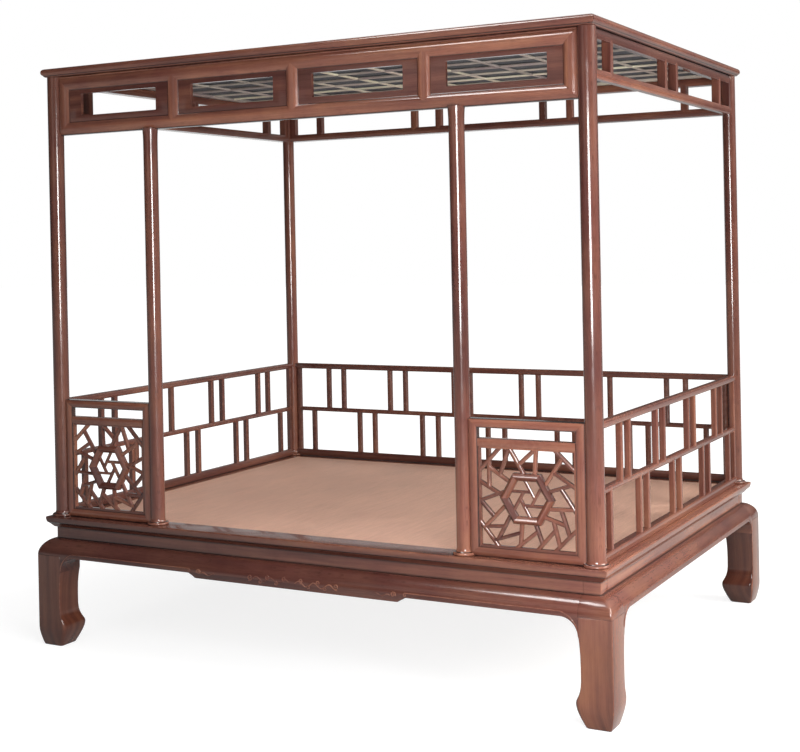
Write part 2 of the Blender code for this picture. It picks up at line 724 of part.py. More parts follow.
def build_railing(run):
    """Two stiles, a top and a bottom rail, and the lattice between them."""
    name = "railing_" + run.name
    foot, head = SEAT_TOP + GAP + BOTTOM_RAIL, RAILING_TOP - TOP_RAIL
    tenons = middle_tenons(run)
    sockets = []
    for label, end, face, scribe, tenon in zip(("a", "b"), run.ends, run.faces(), run.scribes, tenons):
        span = sorted((end, face))
        box = run.box(span[0], span[1], BAR_DEPTH, foot + GAP, head - GAP)
        stile = box_piece(f"{name}_stile_{label}", *box)
        combine(stile, scribe, "DIFFERENCE")
        centre = face - math.copysign(BAR / 2, face - end)
        add_tenons(stile, stile_tenons(run, centre))
        cut_mortises(stile, [tenon])
        sockets += stile_tenons(run, centre)
    top = box_piece(name + "_top", *run.box(*run.ends, TOP_RAIL_DEPTH, head, RAILING_TOP))
    bottom = box_piece(name + "_bottom", *run.box(*run.ends, BOTTOM_RAIL_DEPTH, SEAT_TOP + GAP, foot))
    for rail in (top, bottom):
        for scribe in run.scribes:
            combine(rail, scribe, "DIFFERENCE")
        cut_mortises(rail, sockets)
    left, right = run.faces()
    middle = run.box(left + GAP, right - GAP, BAR_DEPTH, *middle_rail_span())
    lattice = box_piece(name + "_lattice", *middle)
    add_tenons(lattice, strut_boxes(run) + tenons)


# Front panels

def panel_field(sign):
    """Open field of a front panel: low and high corner, in u and v."""
    u = sorted((
        sign * (INNER_POST_X + INNER_POST_RADIUS + PANEL_STILE),
        sign * (POST_X - FRONT_POST_RADIUS - PANEL_STILE),
    ))
    low = SEAT_TOP + GAP + PANEL_BOTTOM_RAIL
    high = RAILING_TOP - PANEL_TOP_RAIL - PANEL_SLOT - PANEL_SECOND_RAIL
    return u[0], low, u[1], high


def hexagon(centre, radius):
    """Corners of a hexagon with points to the left and right."""
    angles = [math.radians(60 * corner) for corner in range(6)]
    return [(centre[0] + radius * math.cos(a), centre[1] + radius * math.sin(a)) for a in angles]


def pinwheel_bars(centre, reach, sign):
    """Six bars that frame a small hexagon and run on to the ring."""
    corners = hexagon(centre, PINWHEEL_RADIUS)
    bars = []
    for k in range(6):
        start, through = corners[k], corners[(k + sign) % 6]
        step = reach / PINWHEEL_RADIUS
        end = (start[0] + (through[0] - start[0]) * step, start[1] + (through[1] - start[1]) * step)
        bars.append((start, end))
    return bars


def build_panel(side, sign, scribes):
    """A front panel: frame, cracked-ice lattice and hexagon ring."""
    name = "panel_" + side
    view = at(FRONT_VIEW, -POST_Y)
    u0, v0, u1, v1 = panel_field(sign)
    slot_foot = RAILING_TOP - PANEL_TOP_RAIL - PANEL_SLOT
    left, right = sorted((sign * INNER_POST_X, sign * POST_X))
    outer = rectangle(left, SEAT_TOP + GAP, right, RAILING_TOP)
    slot = rectangle(u0, slot_foot, u1, slot_foot + PANEL_SLOT)
    frame = add_piece(name + "_frame", plate_mesh(name, [outer, slot, rectangle(u0, v0, u1, v1)], PANEL_DEPTH), view)
    for scribe in scribes:
        combine(frame, scribe, "DIFFERENCE")
    centre = ((u0 + u1) / 2, (v0 + v1) / 2)
    build_ice(name, view, (u0 + GAP, v0 + GAP, u1 - GAP, v1 - GAP), centre, sign)
    build_hexagon(name, view, centre, sign)


def build_ice(name, view, field, centre, sign):
    """Bars between a thin rim and the hexagon's place."""
    u0, v0, u1, v1 = field
    half_u, half_v = (u1 - u0) / 2, (v1 - v0) / 2
    bars = []
    for start, end in ICE_BARS:
        bars.append([(centre[0] + sign * u * half_u, centre[1] + v * half_v) for u, v in (start, end)])
    ice = add_piece(name + "_ice", bars_mesh(name, bars, ICE_BAR, ICE_DEPTH), view)
    inner = rectangle(u0 + ICE_RIM, v0 + ICE_RIM, u1 - ICE_RIM, v1 - ICE_RIM)
    rim = plate_mesh(name, [rectangle(*field), inner], ICE_DEPTH)
    combine(ice, add_tool(name + "_rim", rim, view), "UNION", joins_itself=True)
    limit = plate_mesh(name, [rectangle(*field)], 2 * ICE_DEPTH)
    combine(ice, add_tool(name + "_limit", limit, view), "INTERSECT")
    room = plate_mesh(name, [hexagon(centre, HEXAGON_RADIUS + 2 * GAP)], 2 * ICE_DEPTH)
    combine(ice, add_tool(name + "_room", room, view), "DIFFERENCE")


def build_hexagon(name, view, centre, sign):
    """A deep hexagon ring with a pinwheel across it."""
    inner = HEXAGON_RADIUS - HEXAGON_WALL / math.cos(math.radians(30))
    loops = [hexagon(centre, HEXAGON_RADIUS), hexagon(centre, inner)]
    ring = add_piece(name + "_hexagon", plate_mesh(name, loops, HEXAGON_DEPTH), view)
    bars = pinwheel_bars(centre, inner, sign)
    wheel = add_tool(name + "_pinwheel", bars_mesh(name, bars, PINWHEEL_BAR, PINWHEEL_DEPTH), view)
    combine(ring, wheel, "UNION", joins_itself=True)


# Friezes

def inset_bays():
    """Spans of the four bays of the front frieze."""
    first = -(POST_X - FRONT_POST_RADIUS - FRIEZE_END_STILE)
    bay = (-2 * first - (INSETS - 1) * FRIEZE_MUNTIN) / INSETS
    starts = [first + i * (bay + FRIEZE_MUNTIN) for i in range(INSETS)]
    return [(start, start + bay) for start in starts]


def build_front_frieze(scribes):
    """Frame between the corner posts, with recessed panels that each have a window."""
    low = FRONT_FRIEZE_BOTTOM + FRIEZE_FOOT_RAIL
    high = CORNICE_BOTTOM - FRIEZE_TOP_RAIL
    depth = FRONT_FRIEZE_DEPTH
    outer = upright_box(FRONT_VIEW, -POST_Y, depth, -POST_X, FRONT_FRIEZE_BOTTOM, POST_X, FRIEZE_TOP)
    frame = box_piece("frieze_front_frame", *outer)
    depth += 2 * CUT_MARGIN
    bays = [upright_box(FRONT_VIEW, -POST_Y, depth, u0, low, u1, high) for u0, u1 in inset_bays()]
    combine(frame, add_tool("frieze_front_bays", boxes_mesh("frieze_front_bays", bays)), "DIFFERENCE")
    for scribe in scribes:
        combine(frame, scribe, "DIFFERENCE")
    cut_mortises(frame, [inner_tenon(sign * INNER_POST_X) for sign in (-1, 1)])
    back = -POST_Y - FRONT_FRIEZE_DEPTH / 2 + INSET_RECESS + INSET_THICK / 2
    for number, (u0, u1) in enumerate(inset_bays(), start=1):
        name = f"frieze_inset_{number}"
        board = rectangle(u0 + GAP, low + GAP, u1 - GAP, high - GAP)
        window = rectangle(u0 + WINDOW_SIDE, low + WINDOW_EDGE, u1 - WINDOW_SIDE, high - WINDOW_EDGE)
        add_piece(name, plate_mesh(name, [board, window], INSET_THICK), at(FRONT_VIEW, back))


def frieze_struts(ends, bays):
    """Centres of an open frieze's struts: one near each post and pairs between equal bays."""
    first, last = ends[0] + OPEN_FRIEZE_END, ends[1] - OPEN_FRIEZE_END
    bay = (last - first - (bays - 1) * OPEN_FRIEZE_PAIR) / bays
    struts = [first]
    for i in range(1, bays):
        start = first + i * bay + (i - 1) * OPEN_FRIEZE_PAIR
        struts += [start, start + OPEN_FRIEZE_PAIR]
    return struts + [last]


def build_open_frieze(name, view, distance, ends, radii, scribes, bays):
    """An open frieze between two posts: two rails, end stiles and struts."""
    low, high = OPEN_FRIEZE_BOTTOM + OPEN_FRIEZE_RAIL, CORNICE_BOTTOM - OPEN_FRIEZE_RAIL
    half = OPEN_FRIEZE_STRUT / 2
    edges = [ends[0] + radii[0] + OPEN_FRIEZE_STILE]
    for centre in frieze_struts(ends, bays):
        edges += [centre - half, centre + half]
    edges.append(ends[1] - radii[1] - OPEN_FRIEZE_STILE)
    outer = upright_box(view, distance, OPEN_FRIEZE_DEPTH, ends[0], OPEN_FRIEZE_BOTTOM, ends[1], FRIEZE_TOP)
    frieze = box_piece(name, *outer)
    depth = OPEN_FRIEZE_DEPTH + 2 * CUT_MARGIN
    holes = [upright_box(view, distance, depth, a, low, b, high) for a, b in zip(edges[::2], edges[1::2])]
    combine(frieze, add_tool(name + "_bays", boxes_mesh(name + "_bays", holes)), "DIFFERENCE")
    for scribe in scribes:
        combine(frieze, scribe, "DIFFERENCE")


# Canopy

def cornice_profile(post):
    """Section of a cornice rail: rounded outer edge, and a rabbet over the ceiling."""
    outer = post + CANOPY_OVERHANG
    inner = outer - CORNICE_WIDTH
    seat = post - CEILING_SETBACK
    half = CORNICE_THICK / 2
    middle = (outer - CORNICE_ROUND, CANOPY_TOP - half)
    edge = quarter(middle, (CORNICE_ROUND, half), 270)[:-1] + quarter(middle, (CORNICE_ROUND, half), 0)
    lip = CORNICE_BOTTOM + CEILING_RABBET
    return [(inner, lip), (seat, lip), (seat, CORNICE_BOTTOM), *edge, (inner, CANOPY_TOP)]


def build_cornice():
    """Four mitred rails, socketed for the corner posts."""
    sockets = [canopy_tenon(x * POST_X, y * POST_Y) for x in (-1, 1) for y in (-1, 1)]
    for name, sign in (("cornice_front", -1), ("cornice_back", 1)):
        rail = mitred_rail(name, signed(cornice_profile(POST_Y), sign), SIDE_VIEW, POST_X - POST_Y)
        cut_mortises(rail, sockets)
    for name, sign in (("cornice_left", -1), ("cornice_right", 1)):
        rail = mitred_rail(name, signed(cornice_profile(POST_X), sign), FRONT_VIEW, POST_Y - POST_X)
        cut_mortises(rail, sockets)


def spans(half, count, bar, spine):
    """Clear spans between bars across a width, with a wider bar in the middle."""
    clear = (2 * half - (count - 2) * bar - spine) / count
    edges, start = [], -half
    for i in range(count):
        edges.append((start, start + clear))
        start += clear + (spine if i == count // 2 - 1 else bar)
    return edges


def build_ceiling():
    """Ceiling lattice trapped between friezes and cornice, with a dark cloth over it."""
    half_x = POST_X - CEILING_SETBACK - GAP
    half_y = POST_Y - CEILING_SETBACK - GAP
    columns = spans(half_x - CEILING_BORDER, CEILING_COLUMNS, CEILING_BAR, CEILING_BAR)
    rows = spans(half_y - CEILING_BORDER, CEILING_ROWS, CEILING_BAR, CEILING_SPINE)
    loops = [rectangle(-half_x, -half_y, half_x, half_y)]
    loops += [rectangle(x0, y0, x1, y1) for x0, x1 in columns for y0, y1 in rows]
    low = CORNICE_BOTTOM + GAP
    mesh = plate_mesh("ceiling_lattice", loops, CEILING_THICK)
    place = Matrix.Translation((0.0, 0.0, low + CEILING_THICK / 2))
    add_piece("ceiling_lattice", mesh, place, PALE_WOOD)
    cloth = low + CEILING_THICK + GAP
    box_piece("dust_cloth", (-half_x, -half_y, cloth), (half_x, half_y, cloth + CLOTH_THICK), INDIGO_CLOTH)


def build_base():
    """Legs, aprons and waist boards."""
    for row, y_sign in (("front", -1), ("back", 1)):
        for side, x_sign in (("left", -1), ("right", 1)):
            build_leg(f"leg_{row}_{side}", x_sign, y_sign)
    build_front_apron("apron_front", -1, APRON_DROP)
    build_front_apron("apron_back", 1, 0.0)
    build_side_apron("apron_left", -1)
    build_side_apron("apron_right", 1)
    build_waist()


def build_sides():
    """Railings, front panels and friezes, all fitted round the posts."""
    scribes = {}
    for side, x_sign in (("left", -1), ("right", 1)):
        scribes["front", side] = add_scribe(f"scribe_front_{side}", x_sign * POST_X, -POST_Y, FRONT_POST_RADIUS)
        scribes["back", side] = add_scribe(f"scribe_back_{side}", x_sign * POST_X, POST_Y, BACK_POST_RADIUS)
        scribes["inner", side] = add_scribe(f"scribe_inner_{side}", x_sign * INNER_POST_X, -POST_Y, INNER_POST_RADIUS)
    across = (-POST_X, POST_X)
    back_radii = (BACK_POST_RADIUS, BACK_POST_RADIUS)
    back_scribes = (scribes["back", "left"], scribes["back", "right"])
    build_railing(Run("back", FRONT_VIEW, POST_Y, across, back_radii, back_scribes, BACK_BAYS))
    build_open_frieze("frieze_back", FRONT_VIEW, POST_Y, across, back_radii, back_scribes, BACK_FRIEZE_BAYS)
    along = (-POST_Y, POST_Y)
    side_radii = (FRONT_POST_RADIUS, BACK_POST_RADIUS)
    for side, sign in (("left", -1), ("right", 1)):
        side_scribes = (scribes["front", side], scribes["back", side])
        build_railing(Run(side, SIDE_VIEW, sign * POST_X, along, side_radii, side_scribes, SIDE_BAYS))
        build_open_frieze(f"frieze_{side}", SIDE_VIEW, sign * POST_X, along, side_radii, side_scribes, SIDE_FRIEZE_BAYS)
        build_panel(side, sign, (scribes["inner", side], scribes["front", side]))
    build_front_frieze((scribes["front", "left"], scribes["front", "right"]))


clear_scene()
BED = collection("canopy_bed")
TOOLS = collection("tools")
ORIGIN = bpy.data.objects.new("bed_origin", None)
BED.objects.link(ORIGIN)
build_base()
build_seat()
build_mat()
build_brace("mat_brace_left", -BRACE_X)
build_brace("mat_brace_right", BRACE_X)
build_posts()
build_sides()
build_cornice()
build_ceiling()
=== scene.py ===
"""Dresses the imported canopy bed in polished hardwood, woven cane and dark cloth.

Metres, +Z up, front towards -Y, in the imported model's own frame.
"""
from __future__ import annotations

import logging
import math
import random
from collections.abc import Callable, Iterable, Sequence
from dataclasses import dataclass
from enum import Enum

import bmesh
import bpy
from mathutils import Matrix, Vector


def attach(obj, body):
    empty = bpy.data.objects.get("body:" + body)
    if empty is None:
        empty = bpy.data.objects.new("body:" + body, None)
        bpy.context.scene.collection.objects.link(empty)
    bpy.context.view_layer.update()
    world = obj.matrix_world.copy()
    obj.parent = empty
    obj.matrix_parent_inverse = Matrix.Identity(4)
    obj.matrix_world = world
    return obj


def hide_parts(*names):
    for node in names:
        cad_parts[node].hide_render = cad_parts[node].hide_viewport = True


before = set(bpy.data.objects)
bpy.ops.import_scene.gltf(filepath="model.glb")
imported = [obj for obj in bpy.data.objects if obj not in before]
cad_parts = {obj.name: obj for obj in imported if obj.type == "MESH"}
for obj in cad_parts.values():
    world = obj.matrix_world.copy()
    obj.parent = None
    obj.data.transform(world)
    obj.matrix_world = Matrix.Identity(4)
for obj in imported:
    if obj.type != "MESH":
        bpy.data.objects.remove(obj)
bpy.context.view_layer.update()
LOG = logging.getLogger("canopy_bed")

Pair = tuple[float, float]
Colour = tuple[float, float, float]
Section = list[Pair]
Stops = Sequence[tuple[float, Sequence[float]]]
Socket = bpy.types.NodeSocket
Face = bmesh.types.BMFace

WHITE = (1.0, 1.0, 1.0)
ALONG = Vector((1.0, 0.0, 0.0))
UP = Vector((0.0, 0.0, 1.0))
OUT = Vector((0.0, -1.0, 0.0))
EDGE_ANGLE = math.radians(32)
SEAM = 0.0004  # open line between two mitred rails
LAP = 0.004  # how far a hidden end runs into its neighbour
SCRIBE = 0.008  # how far a deep rail runs into a round post
OVERRUN = 0.010  # how far a cutting shape reaches past the wood
CUT_DEPTH = 0.1  # of a shape that cuts right through
TOUCH = 0.0003  # reach of the dark line of painted shade and old polish along a quirk
FACING = 0.7  # least cosine between a direction and a face that looks in it


class Side(Enum):
    """Sides of the bed, as turns of a piece that is made at the front."""

    FRONT = 0
    RIGHT = 90
    BACK = 180
    LEFT = -90

    def turn(self) -> Matrix:
        """Turns a front piece to this side."""
        return Matrix.Rotation(math.radians(self.value), 4, "Z")

    def label(self) -> str:
        """The side's name in the names of pieces."""
        return self.name.lower()

    def reach(self, x: float, y: float) -> Pair:
        """Half a side's length and its distance from the bed's middle, from half sizes along X and Y."""
        return (x, y) if self in (Side.FRONT, Side.BACK) else (y, x)


class Slot(Enum):
    """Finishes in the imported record."""

    DARK_WOOD = "dark_wood"
    PALE_WOOD = "pale_wood"
    CANE = "woven_cane"
    CLOTH = "indigo_cloth"


@dataclass(frozen=True)
class Bed:
    """Sizes that all pieces share."""

    post_x: float = 1.106
    post_y: float = 0.840
    inner_x: float = 0.6415
    front_radius: float = 0.0305
    back_radius: float = 0.0270
    inner_radius: float = 0.0270
    seat_top: float = 0.500
    seat_bottom: float = 0.457
    seat_x: float = 1.156
    seat_y: float = 0.890
    waist_x: float = 1.126
    waist_y: float = 0.860
    leg_x: float = 1.180
    leg_y: float = 0.914
    leg_size: float = 0.108
    apron_top: float = 0.414
    railing_top: float = 0.958
    cornice_bottom: float = 2.219
    canopy_top: float = 2.252
    front_frieze_bottom: float = 1.990
    open_frieze_bottom: float = 2.055


BED = Bed()


class Graph:
    """A material's node tree, with short ways to add and link nodes."""

    def __init__(self, name: str) -> None:
        """Starts a material with one Principled shader.

        Args:
            name: The material's name.
        """
        self.material = bpy.data.materials.new(name)
        self.material.use_nodes = True
        self.tree = self.material.node_tree
        self.shader = self.tree.nodes["Principled BSDF"]

    def add(self, kind: str, inputs: dict | None = None, **settings: object) -> bpy.types.Node:
        """Adds a node.

        Args:
            kind: The node type without its ShaderNode prefix.
            inputs: Socket names with values, or with sockets to link from.
            settings: Properties of the node.

        Returns:
            The new node.
        """
        node = self.tree.nodes.new("ShaderNode" + kind)
        for key, value in settings.items():
            setattr(node, key, value)
        self.feed(node, inputs or {})
        return node

    def feed(self, node: bpy.types.Node, inputs: dict) -> None:
        """Sets or links a node's sockets.

        Args:
            node: The node.
            inputs: Socket names or numbers with values or sockets.
        """
        for key, value in inputs.items():
            if isinstance(value, Socket):
                self.tree.links.new(value, node.inputs[key])
            else:
                node.inputs[key].default_value = value

    def noise(self, vector: Socket, scale: Sequence[float], detail: float) -> Socket:
        """Noise stretched by a scale for each axis.

        Args:
            vector: Coordinates.
            scale: Cells per metre along each axis.
            detail: Octaves.

        Returns:
            The noise value.
        """
        mapping = self.add("Mapping", {"Vector": vector, "Scale": tuple(scale)})
        return self.add("TexNoise", {"Vector": mapping.outputs[0], "Scale": 1.0, "Detail": detail}).outputs[0]

    def calc(self, operation: str, first: object, second: object = 0.0, clamp: bool = False) -> Socket:
        """Works out a value.

        Args:
            operation: What is done.
            first: A number or a socket.
            second: The same, where the operation takes two.
            clamp: True where the result stays within 0..1.

        Returns:
            The result.
        """
        return self.add("Math", {0: first, 1: second}, operation=operation, use_clamp=clamp).outputs[0]

    def ramp(self, factor: Socket, stops: Stops) -> Socket:
        """A colour ramp.

        Args:
            factor: What drives it.
            stops: Positions with their colours.

        Returns:
            The colour.
        """
        node = self.add("ValToRGB", {"Fac": factor})
        elements = node.color_ramp.elements
        while len(elements) < len(stops):
            elements.new(0.5)
        for element, (place, colour) in zip(elements, stops):
            element.position = place
            element.color = (*colour, 1.0)
        return node.outputs[0]

    def span(self, value: Socket, low: float, high: float, first: float = 0.0, last: float = 1.0) -> Socket:
        """Spreads a value over a range.

        Args:
            value: What is spread.
            low: Result at the first value and below.
            high: Result at the last value and above.
            first: Where the spread starts.
            last: Where it ends.

        Returns:
            The spread value.
        """
        return self.add("MapRange", {"Value": value, "From Min": first, "From Max": last,
                                     "To Min": low, "To Max": high}).outputs[0]

    def mix(self, factor: object, first: object, second: object, blend: str = "MIX") -> Socket:
        """Mixes two colours.

        Args:
            factor: Share of the second colour.
            first: A colour or a socket.
            second: A colour or a socket.
            blend: How they mix.

        Returns:
            The mixed colour.
        """
        node = self.add("Mix", {0: factor, 6: first, 7: second}, data_type="RGBA", blend_type=blend)
        return node.outputs[2]

    def stain(self, colour: Socket, share: float, factor: Socket, stops: Stops) -> Socket:
        """Multiplies a colour by a ramp.

        Args:
            colour: The colour.
            share: How strongly.
            factor: What drives the ramp.
            stops: The ramp's positions with their colours.

        Returns:
            The stained colour.
        """
        return self.mix(share, colour, self.ramp(factor, stops), "MULTIPLY")

    def bump(self, height: Socket, distance: float, under: Socket | None = None) -> Socket:
        """A bumped normal.

        Args:
            height: Height from 0 to 1.
            distance: Height of 1, in metres.
            under: A normal that it is laid on.

        Returns:
            The normal.
        """
        inputs = {"Height": height, "Distance": distance}
        if under is not None:
            inputs["Normal"] = under
        return self.add("Bump", inputs).outputs[0]


@dataclass(frozen=True)
class Wood:
    """A wood finish: grain, tone by board and painted light by place, worn edges, painted shade and old polish in
    quirks.
    """

    name: str
    deep: Colour
    middle: Colour
    warm: Colour
    worn: Colour
    roughness: Pair
    coat: float
    gloss: float
    # dark colour of the painted shade, with gathered old polish, in quirks and along joints
    quirk: Colour = (0.016, 0.009, 0.009)
    figure: Pair = (1.3, 26.0)  # cells per metre along and across the grain
    fibre: Pair = (9.0, 480.0)
    pores: Pair = (34.0, 1300.0)
    streaks: Stops = ((0.32, (0.66, 0.62, 0.60)), (0.60, WHITE))
    pits: Stops = ((0.30, (0.40, 0.34, 0.32)), (0.42, WHITE))
    boards: Stops = ((0.0, (0.58, 0.55, 0.62)), (0.5, WHITE), (1.0, (1.50, 1.56, 1.44)))
    blotches: Stops = ((0.34, (0.84, 0.74, 0.80)), (0.62, (1.06, 1.08, 1.02)))
    aged: Stops = ((0.24, (0.96, 0.90, 0.76)), (0.36, WHITE))  # over the height in metres
    ripple: float = 0.00030  # height of the hand-planed waves
    nap: float = 0.00002  # height of the fibres
    coat_roughness: float = 0.06

    def material(self) -> bpy.types.Material:
        """Makes the finish once and hands out the same one after that."""
        made = bpy.data.materials.get(self.name)
        return made or self.make()

    def make(self) -> bpy.types.Material:
        """Builds the nodes.

        Returns:
            The material.
        """
        g = Graph(self.name)
        grain = g.add("UVMap", uv_map="grain").outputs[0]
        board = g.add("SeparateXYZ", {0: g.add("UVMap", uv_map="tone").outputs[0]}).outputs
        spot = g.add("TexCoord").outputs["Object"]
        height = g.add("SeparateXYZ", {0: spot}).outputs[2]
        figure = g.noise(grain, (*self.figure, 1.0), 4.0)
        fibre = g.noise(grain, (*self.fibre, 1.0), 3.0)
        pores = g.noise(grain, (*self.pores, 1.0), 1.0)
        blotch = g.noise(spot, (6.0, 6.0, 6.0), 3.0)
        polish = g.noise(spot, (17.0, 17.0, 17.0), 2.0)
        rubbed = g.noise(spot, (55.0, 55.0, 55.0), 2.0)
        colour = g.ramp(figure, [(0.30, self.deep), (0.50, self.middle), (0.72, self.warm)])
        stains = ((0.50, fibre, self.streaks), (0.40, pores, self.pits), (1.0, board[0], self.boards),
                  (0.8, blotch, self.blotches), (1.0, height, self.aged))
        for share, factor, stops in stains:
            colour = g.stain(colour, share, factor, stops)
        rub = g.calc("MULTIPLY", board[1], g.span(rubbed, -0.55, 0.65), clamp=True)
        colour = g.mix(rub, colour, (*self.worn, 1.0))
        # painted shade, with gathered old polish: the dark colour on faces that are marked as lying in a quirk
        quirk_grime_and_shade = g.calc("MULTIPLY", board[1], g.span(rubbed, -1.1, -0.7), clamp=True)
        colour = g.mix(quirk_grime_and_shade, colour, (*self.quirk, 1.0))
        normal = g.bump(fibre, self.nap, g.bump(polish, self.ripple))
        roughness = g.span(polish, *self.roughness, 0.3, 0.7)
        g.feed(g.shader, {"Base Color": colour, "Roughness": roughness, "Normal": normal, "Coat Weight": self.coat,
                          "Coat Roughness": self.coat_roughness, "Specular IOR Level": self.gloss})
        return g.material


@dataclass(frozen=True)
class Cane:
    """Split cane in a fine twill weave."""

    name: str = "woven_split_cane"
    pale: Colour = (0.640, 0.400, 0.315)
    dark: Colour = (0.400, 0.235, 0.180)
    strand: float = 0.0042
    relief: float = 0.0005  # height of the weave
    bands: Stops = ((0.30, (0.84, 0.82, 0.80)), (0.70, (1.10, 1.07, 1.05)))
    strips: Stops = ((0.35, (0.88, 0.86, 0.84)), (0.62, (1.06, 1.05, 1.04)))
    roughness: Pair = (0.40, 0.56)

    def material(self) -> bpy.types.Material:
        """Builds the nodes.

        Returns:
            The material.
        """
        g = Graph(self.name)
        spot = g.add("TexCoord").outputs["Object"]
        turns = 2 * math.pi / self.strand
        axes = g.add("SeparateXYZ", {0: spot}).outputs
        along, across = self.wave(g, axes[0], turns), self.wave(g, axes[1], turns)
        twill = self.wave(g, g.calc("ADD", axes[0], axes[1]), turns / 2)
        over = g.calc("GREATER_THAN", twill, 0.0)
        top = g.add("Mix", {0: over, 2: along, 3: across}, data_type="FLOAT").outputs[0]
        height = g.span(g.calc("ABSOLUTE", top), 0.0, 1.0)
        bands = g.noise(spot, (2.6, 1.1, 1.0), 4.0)
        strips = g.noise(spot, (240.0, 9.0, 1.0), 2.0)
        colour = g.ramp(height, [(0.05, self.dark), (0.55, self.pale)])
        colour = g.stain(colour, 0.9, bands, self.bands)
        colour = g.stain(colour, 0.8, strips, self.strips)
        g.feed(g.shader, {"Base Color": colour, "Roughness": g.span(bands, *self.roughness),
                          "Normal": g.bump(height, self.relief), "Specular IOR Level": 0.4})
        return g.material

    @staticmethod
    def wave(g: Graph, value: Socket, turns: float) -> Socket:
        """A sine along one axis.

        Args:
            g: The material.
            value: Position in metres.
            turns: Radians per metre.

        Returns:
            The sine.
        """
        return g.calc("SINE", g.calc("MULTIPLY", value, turns))


@dataclass(frozen=True)
class Cloth:
    """Plain-woven dark cloth."""

    name: str = "dark_dust_cloth"
    deep: Colour = (0.006, 0.008, 0.016)
    faded: Colour = (0.018, 0.024, 0.044)
    thread: float = 0.0016
    relief: float = 0.0003  # height of the weave
    knit: Stops = ((0.0, (0.7, 0.7, 0.7)), (1.0, WHITE))

    def material(self) -> bpy.types.Material:
        """Builds the nodes.

        Returns:
            The material.
        """
        g = Graph(self.name)
        spot = g.add("TexCoord").outputs["Object"]
        turns = 2 * math.pi / self.thread
        axes = g.add("SeparateXYZ", {0: spot}).outputs
        warp, weft = Cane.wave(g, axes[0], turns), Cane.wave(g, axes[1], turns)
        height = g.span(g.calc("MULTIPLY", warp, weft), 0.0, 1.0, -1.0, 1.0)
        fade = g.noise(spot, (3.0, 3.0, 3.0), 4.0)
        colour = g.stain(g.ramp(fade, [(0.32, self.deep), (0.68, self.faded)]), 0.8, height, self.knit)
        g.feed(g.shader, {"Base Color": colour, "Roughness": 0.92, "Normal": g.bump(height, self.relief),
                          "Sheen Weight": 0.15})
        return g.material


POLISHED = Wood("polished_hardwood", deep=(0.094, 0.032, 0.024), middle=(0.152, 0.055, 0.038),
                warm=(0.226, 0.089, 0.056), worn=(0.270, 0.118, 0.078), roughness=(0.13, 0.23), coat=0.30, gloss=0.5)
BARE = Wood("bare_pale_wood", deep=(0.56, 0.50, 0.41), middle=(0.68, 0.62, 0.53), warm=(0.76, 0.71, 0.63),
            worn=(0.78, 0.74, 0.66), roughness=(0.50, 0.70), coat=0.0, gloss=0.4)


def written(bm: bmesh.types.BMesh, name: str) -> bpy.types.Mesh:
    """Writes a bmesh to a mesh, in an order that is the same each run, and frees it.

    Args:
        bm: The bmesh.
        name: The mesh's name.

    Returns:
        The mesh.
    """
    for items, spot in ((bm.verts, lambda item: tuple(item.co)),
                        (bm.edges, lambda item: tuple(item.verts[0].co + item.verts[1].co)),
                        (bm.faces, lambda item: tuple(item.calc_center_median()))):
        for rank, item in enumerate(sorted(items, key=spot)):
            item.index = rank
        items.sort()
    mesh = bpy.data.meshes.new(name)
    bm.to_mesh(mesh)
    bm.free()
    return mesh


def pulled(bm: bmesh.types.BMesh, faces: Sequence[Face], way: Vector) -> list[bmesh.types.BMVert]:
    """Extrudes faces along a vector.

    Args:
        bm: The bmesh.
        faces: What is extruded.
        way: How far, and in which direction.

    Returns:
        The new points.
    """
    made = bmesh.ops.extrude_face_region(bm, geom=faces)["geom"]
    points = [item for item in made if isinstance(item, bmesh.types.BMVert)]
    bmesh.ops.translate(bm, verts=points, vec=way)
    bmesh.ops.recalc_face_normals(bm, faces=bm.faces)
    return points


def eased(bm: bmesh.types.BMesh, edges: Sequence[bmesh.types.BMEdge], reach: float) -> list[Face]:
    """Rounds edges over.

    Args:
        bm: The bmesh.
        edges: The edges.
        reach: How far from an edge its rounding starts.

    Returns:
        The faces of the rounding.
    """
    return bmesh.ops.bevel(bm, geom=edges, offset=reach, segments=3, profile=0.5, material=-1, affect="EDGES",
                           clamp_overlap=True)["faces"]


def spun(bm: bmesh.types.BMesh, points: Sequence[Vector], centre: Vector, axis: Vector, steps: int,
         closed: bool = False) -> None:
    """Spins a line full circle.

    Args:
        bm: The bmesh.
        points: The line.
        centre: A point on the axis.
        axis: The axis.
        steps: Flats round it.
        closed: True where the line is a loop.
    """
    line = [bm.verts.new(point) for point in points]
    edges = [bm.edges.new(pair) for pair in zip(line, line[1:] + line[:1] if closed else line[1:])]
    bmesh.ops.spin(bm, geom=line + edges, cent=centre, axis=axis, angle=2 * math.pi, steps=steps, use_merge=True,
                   use_duplicate=False)
    bmesh.ops.remove_doubles(bm, verts=bm.verts, dist=1e-6)
    bmesh.ops.recalc_face_normals(bm, faces=bm.faces)


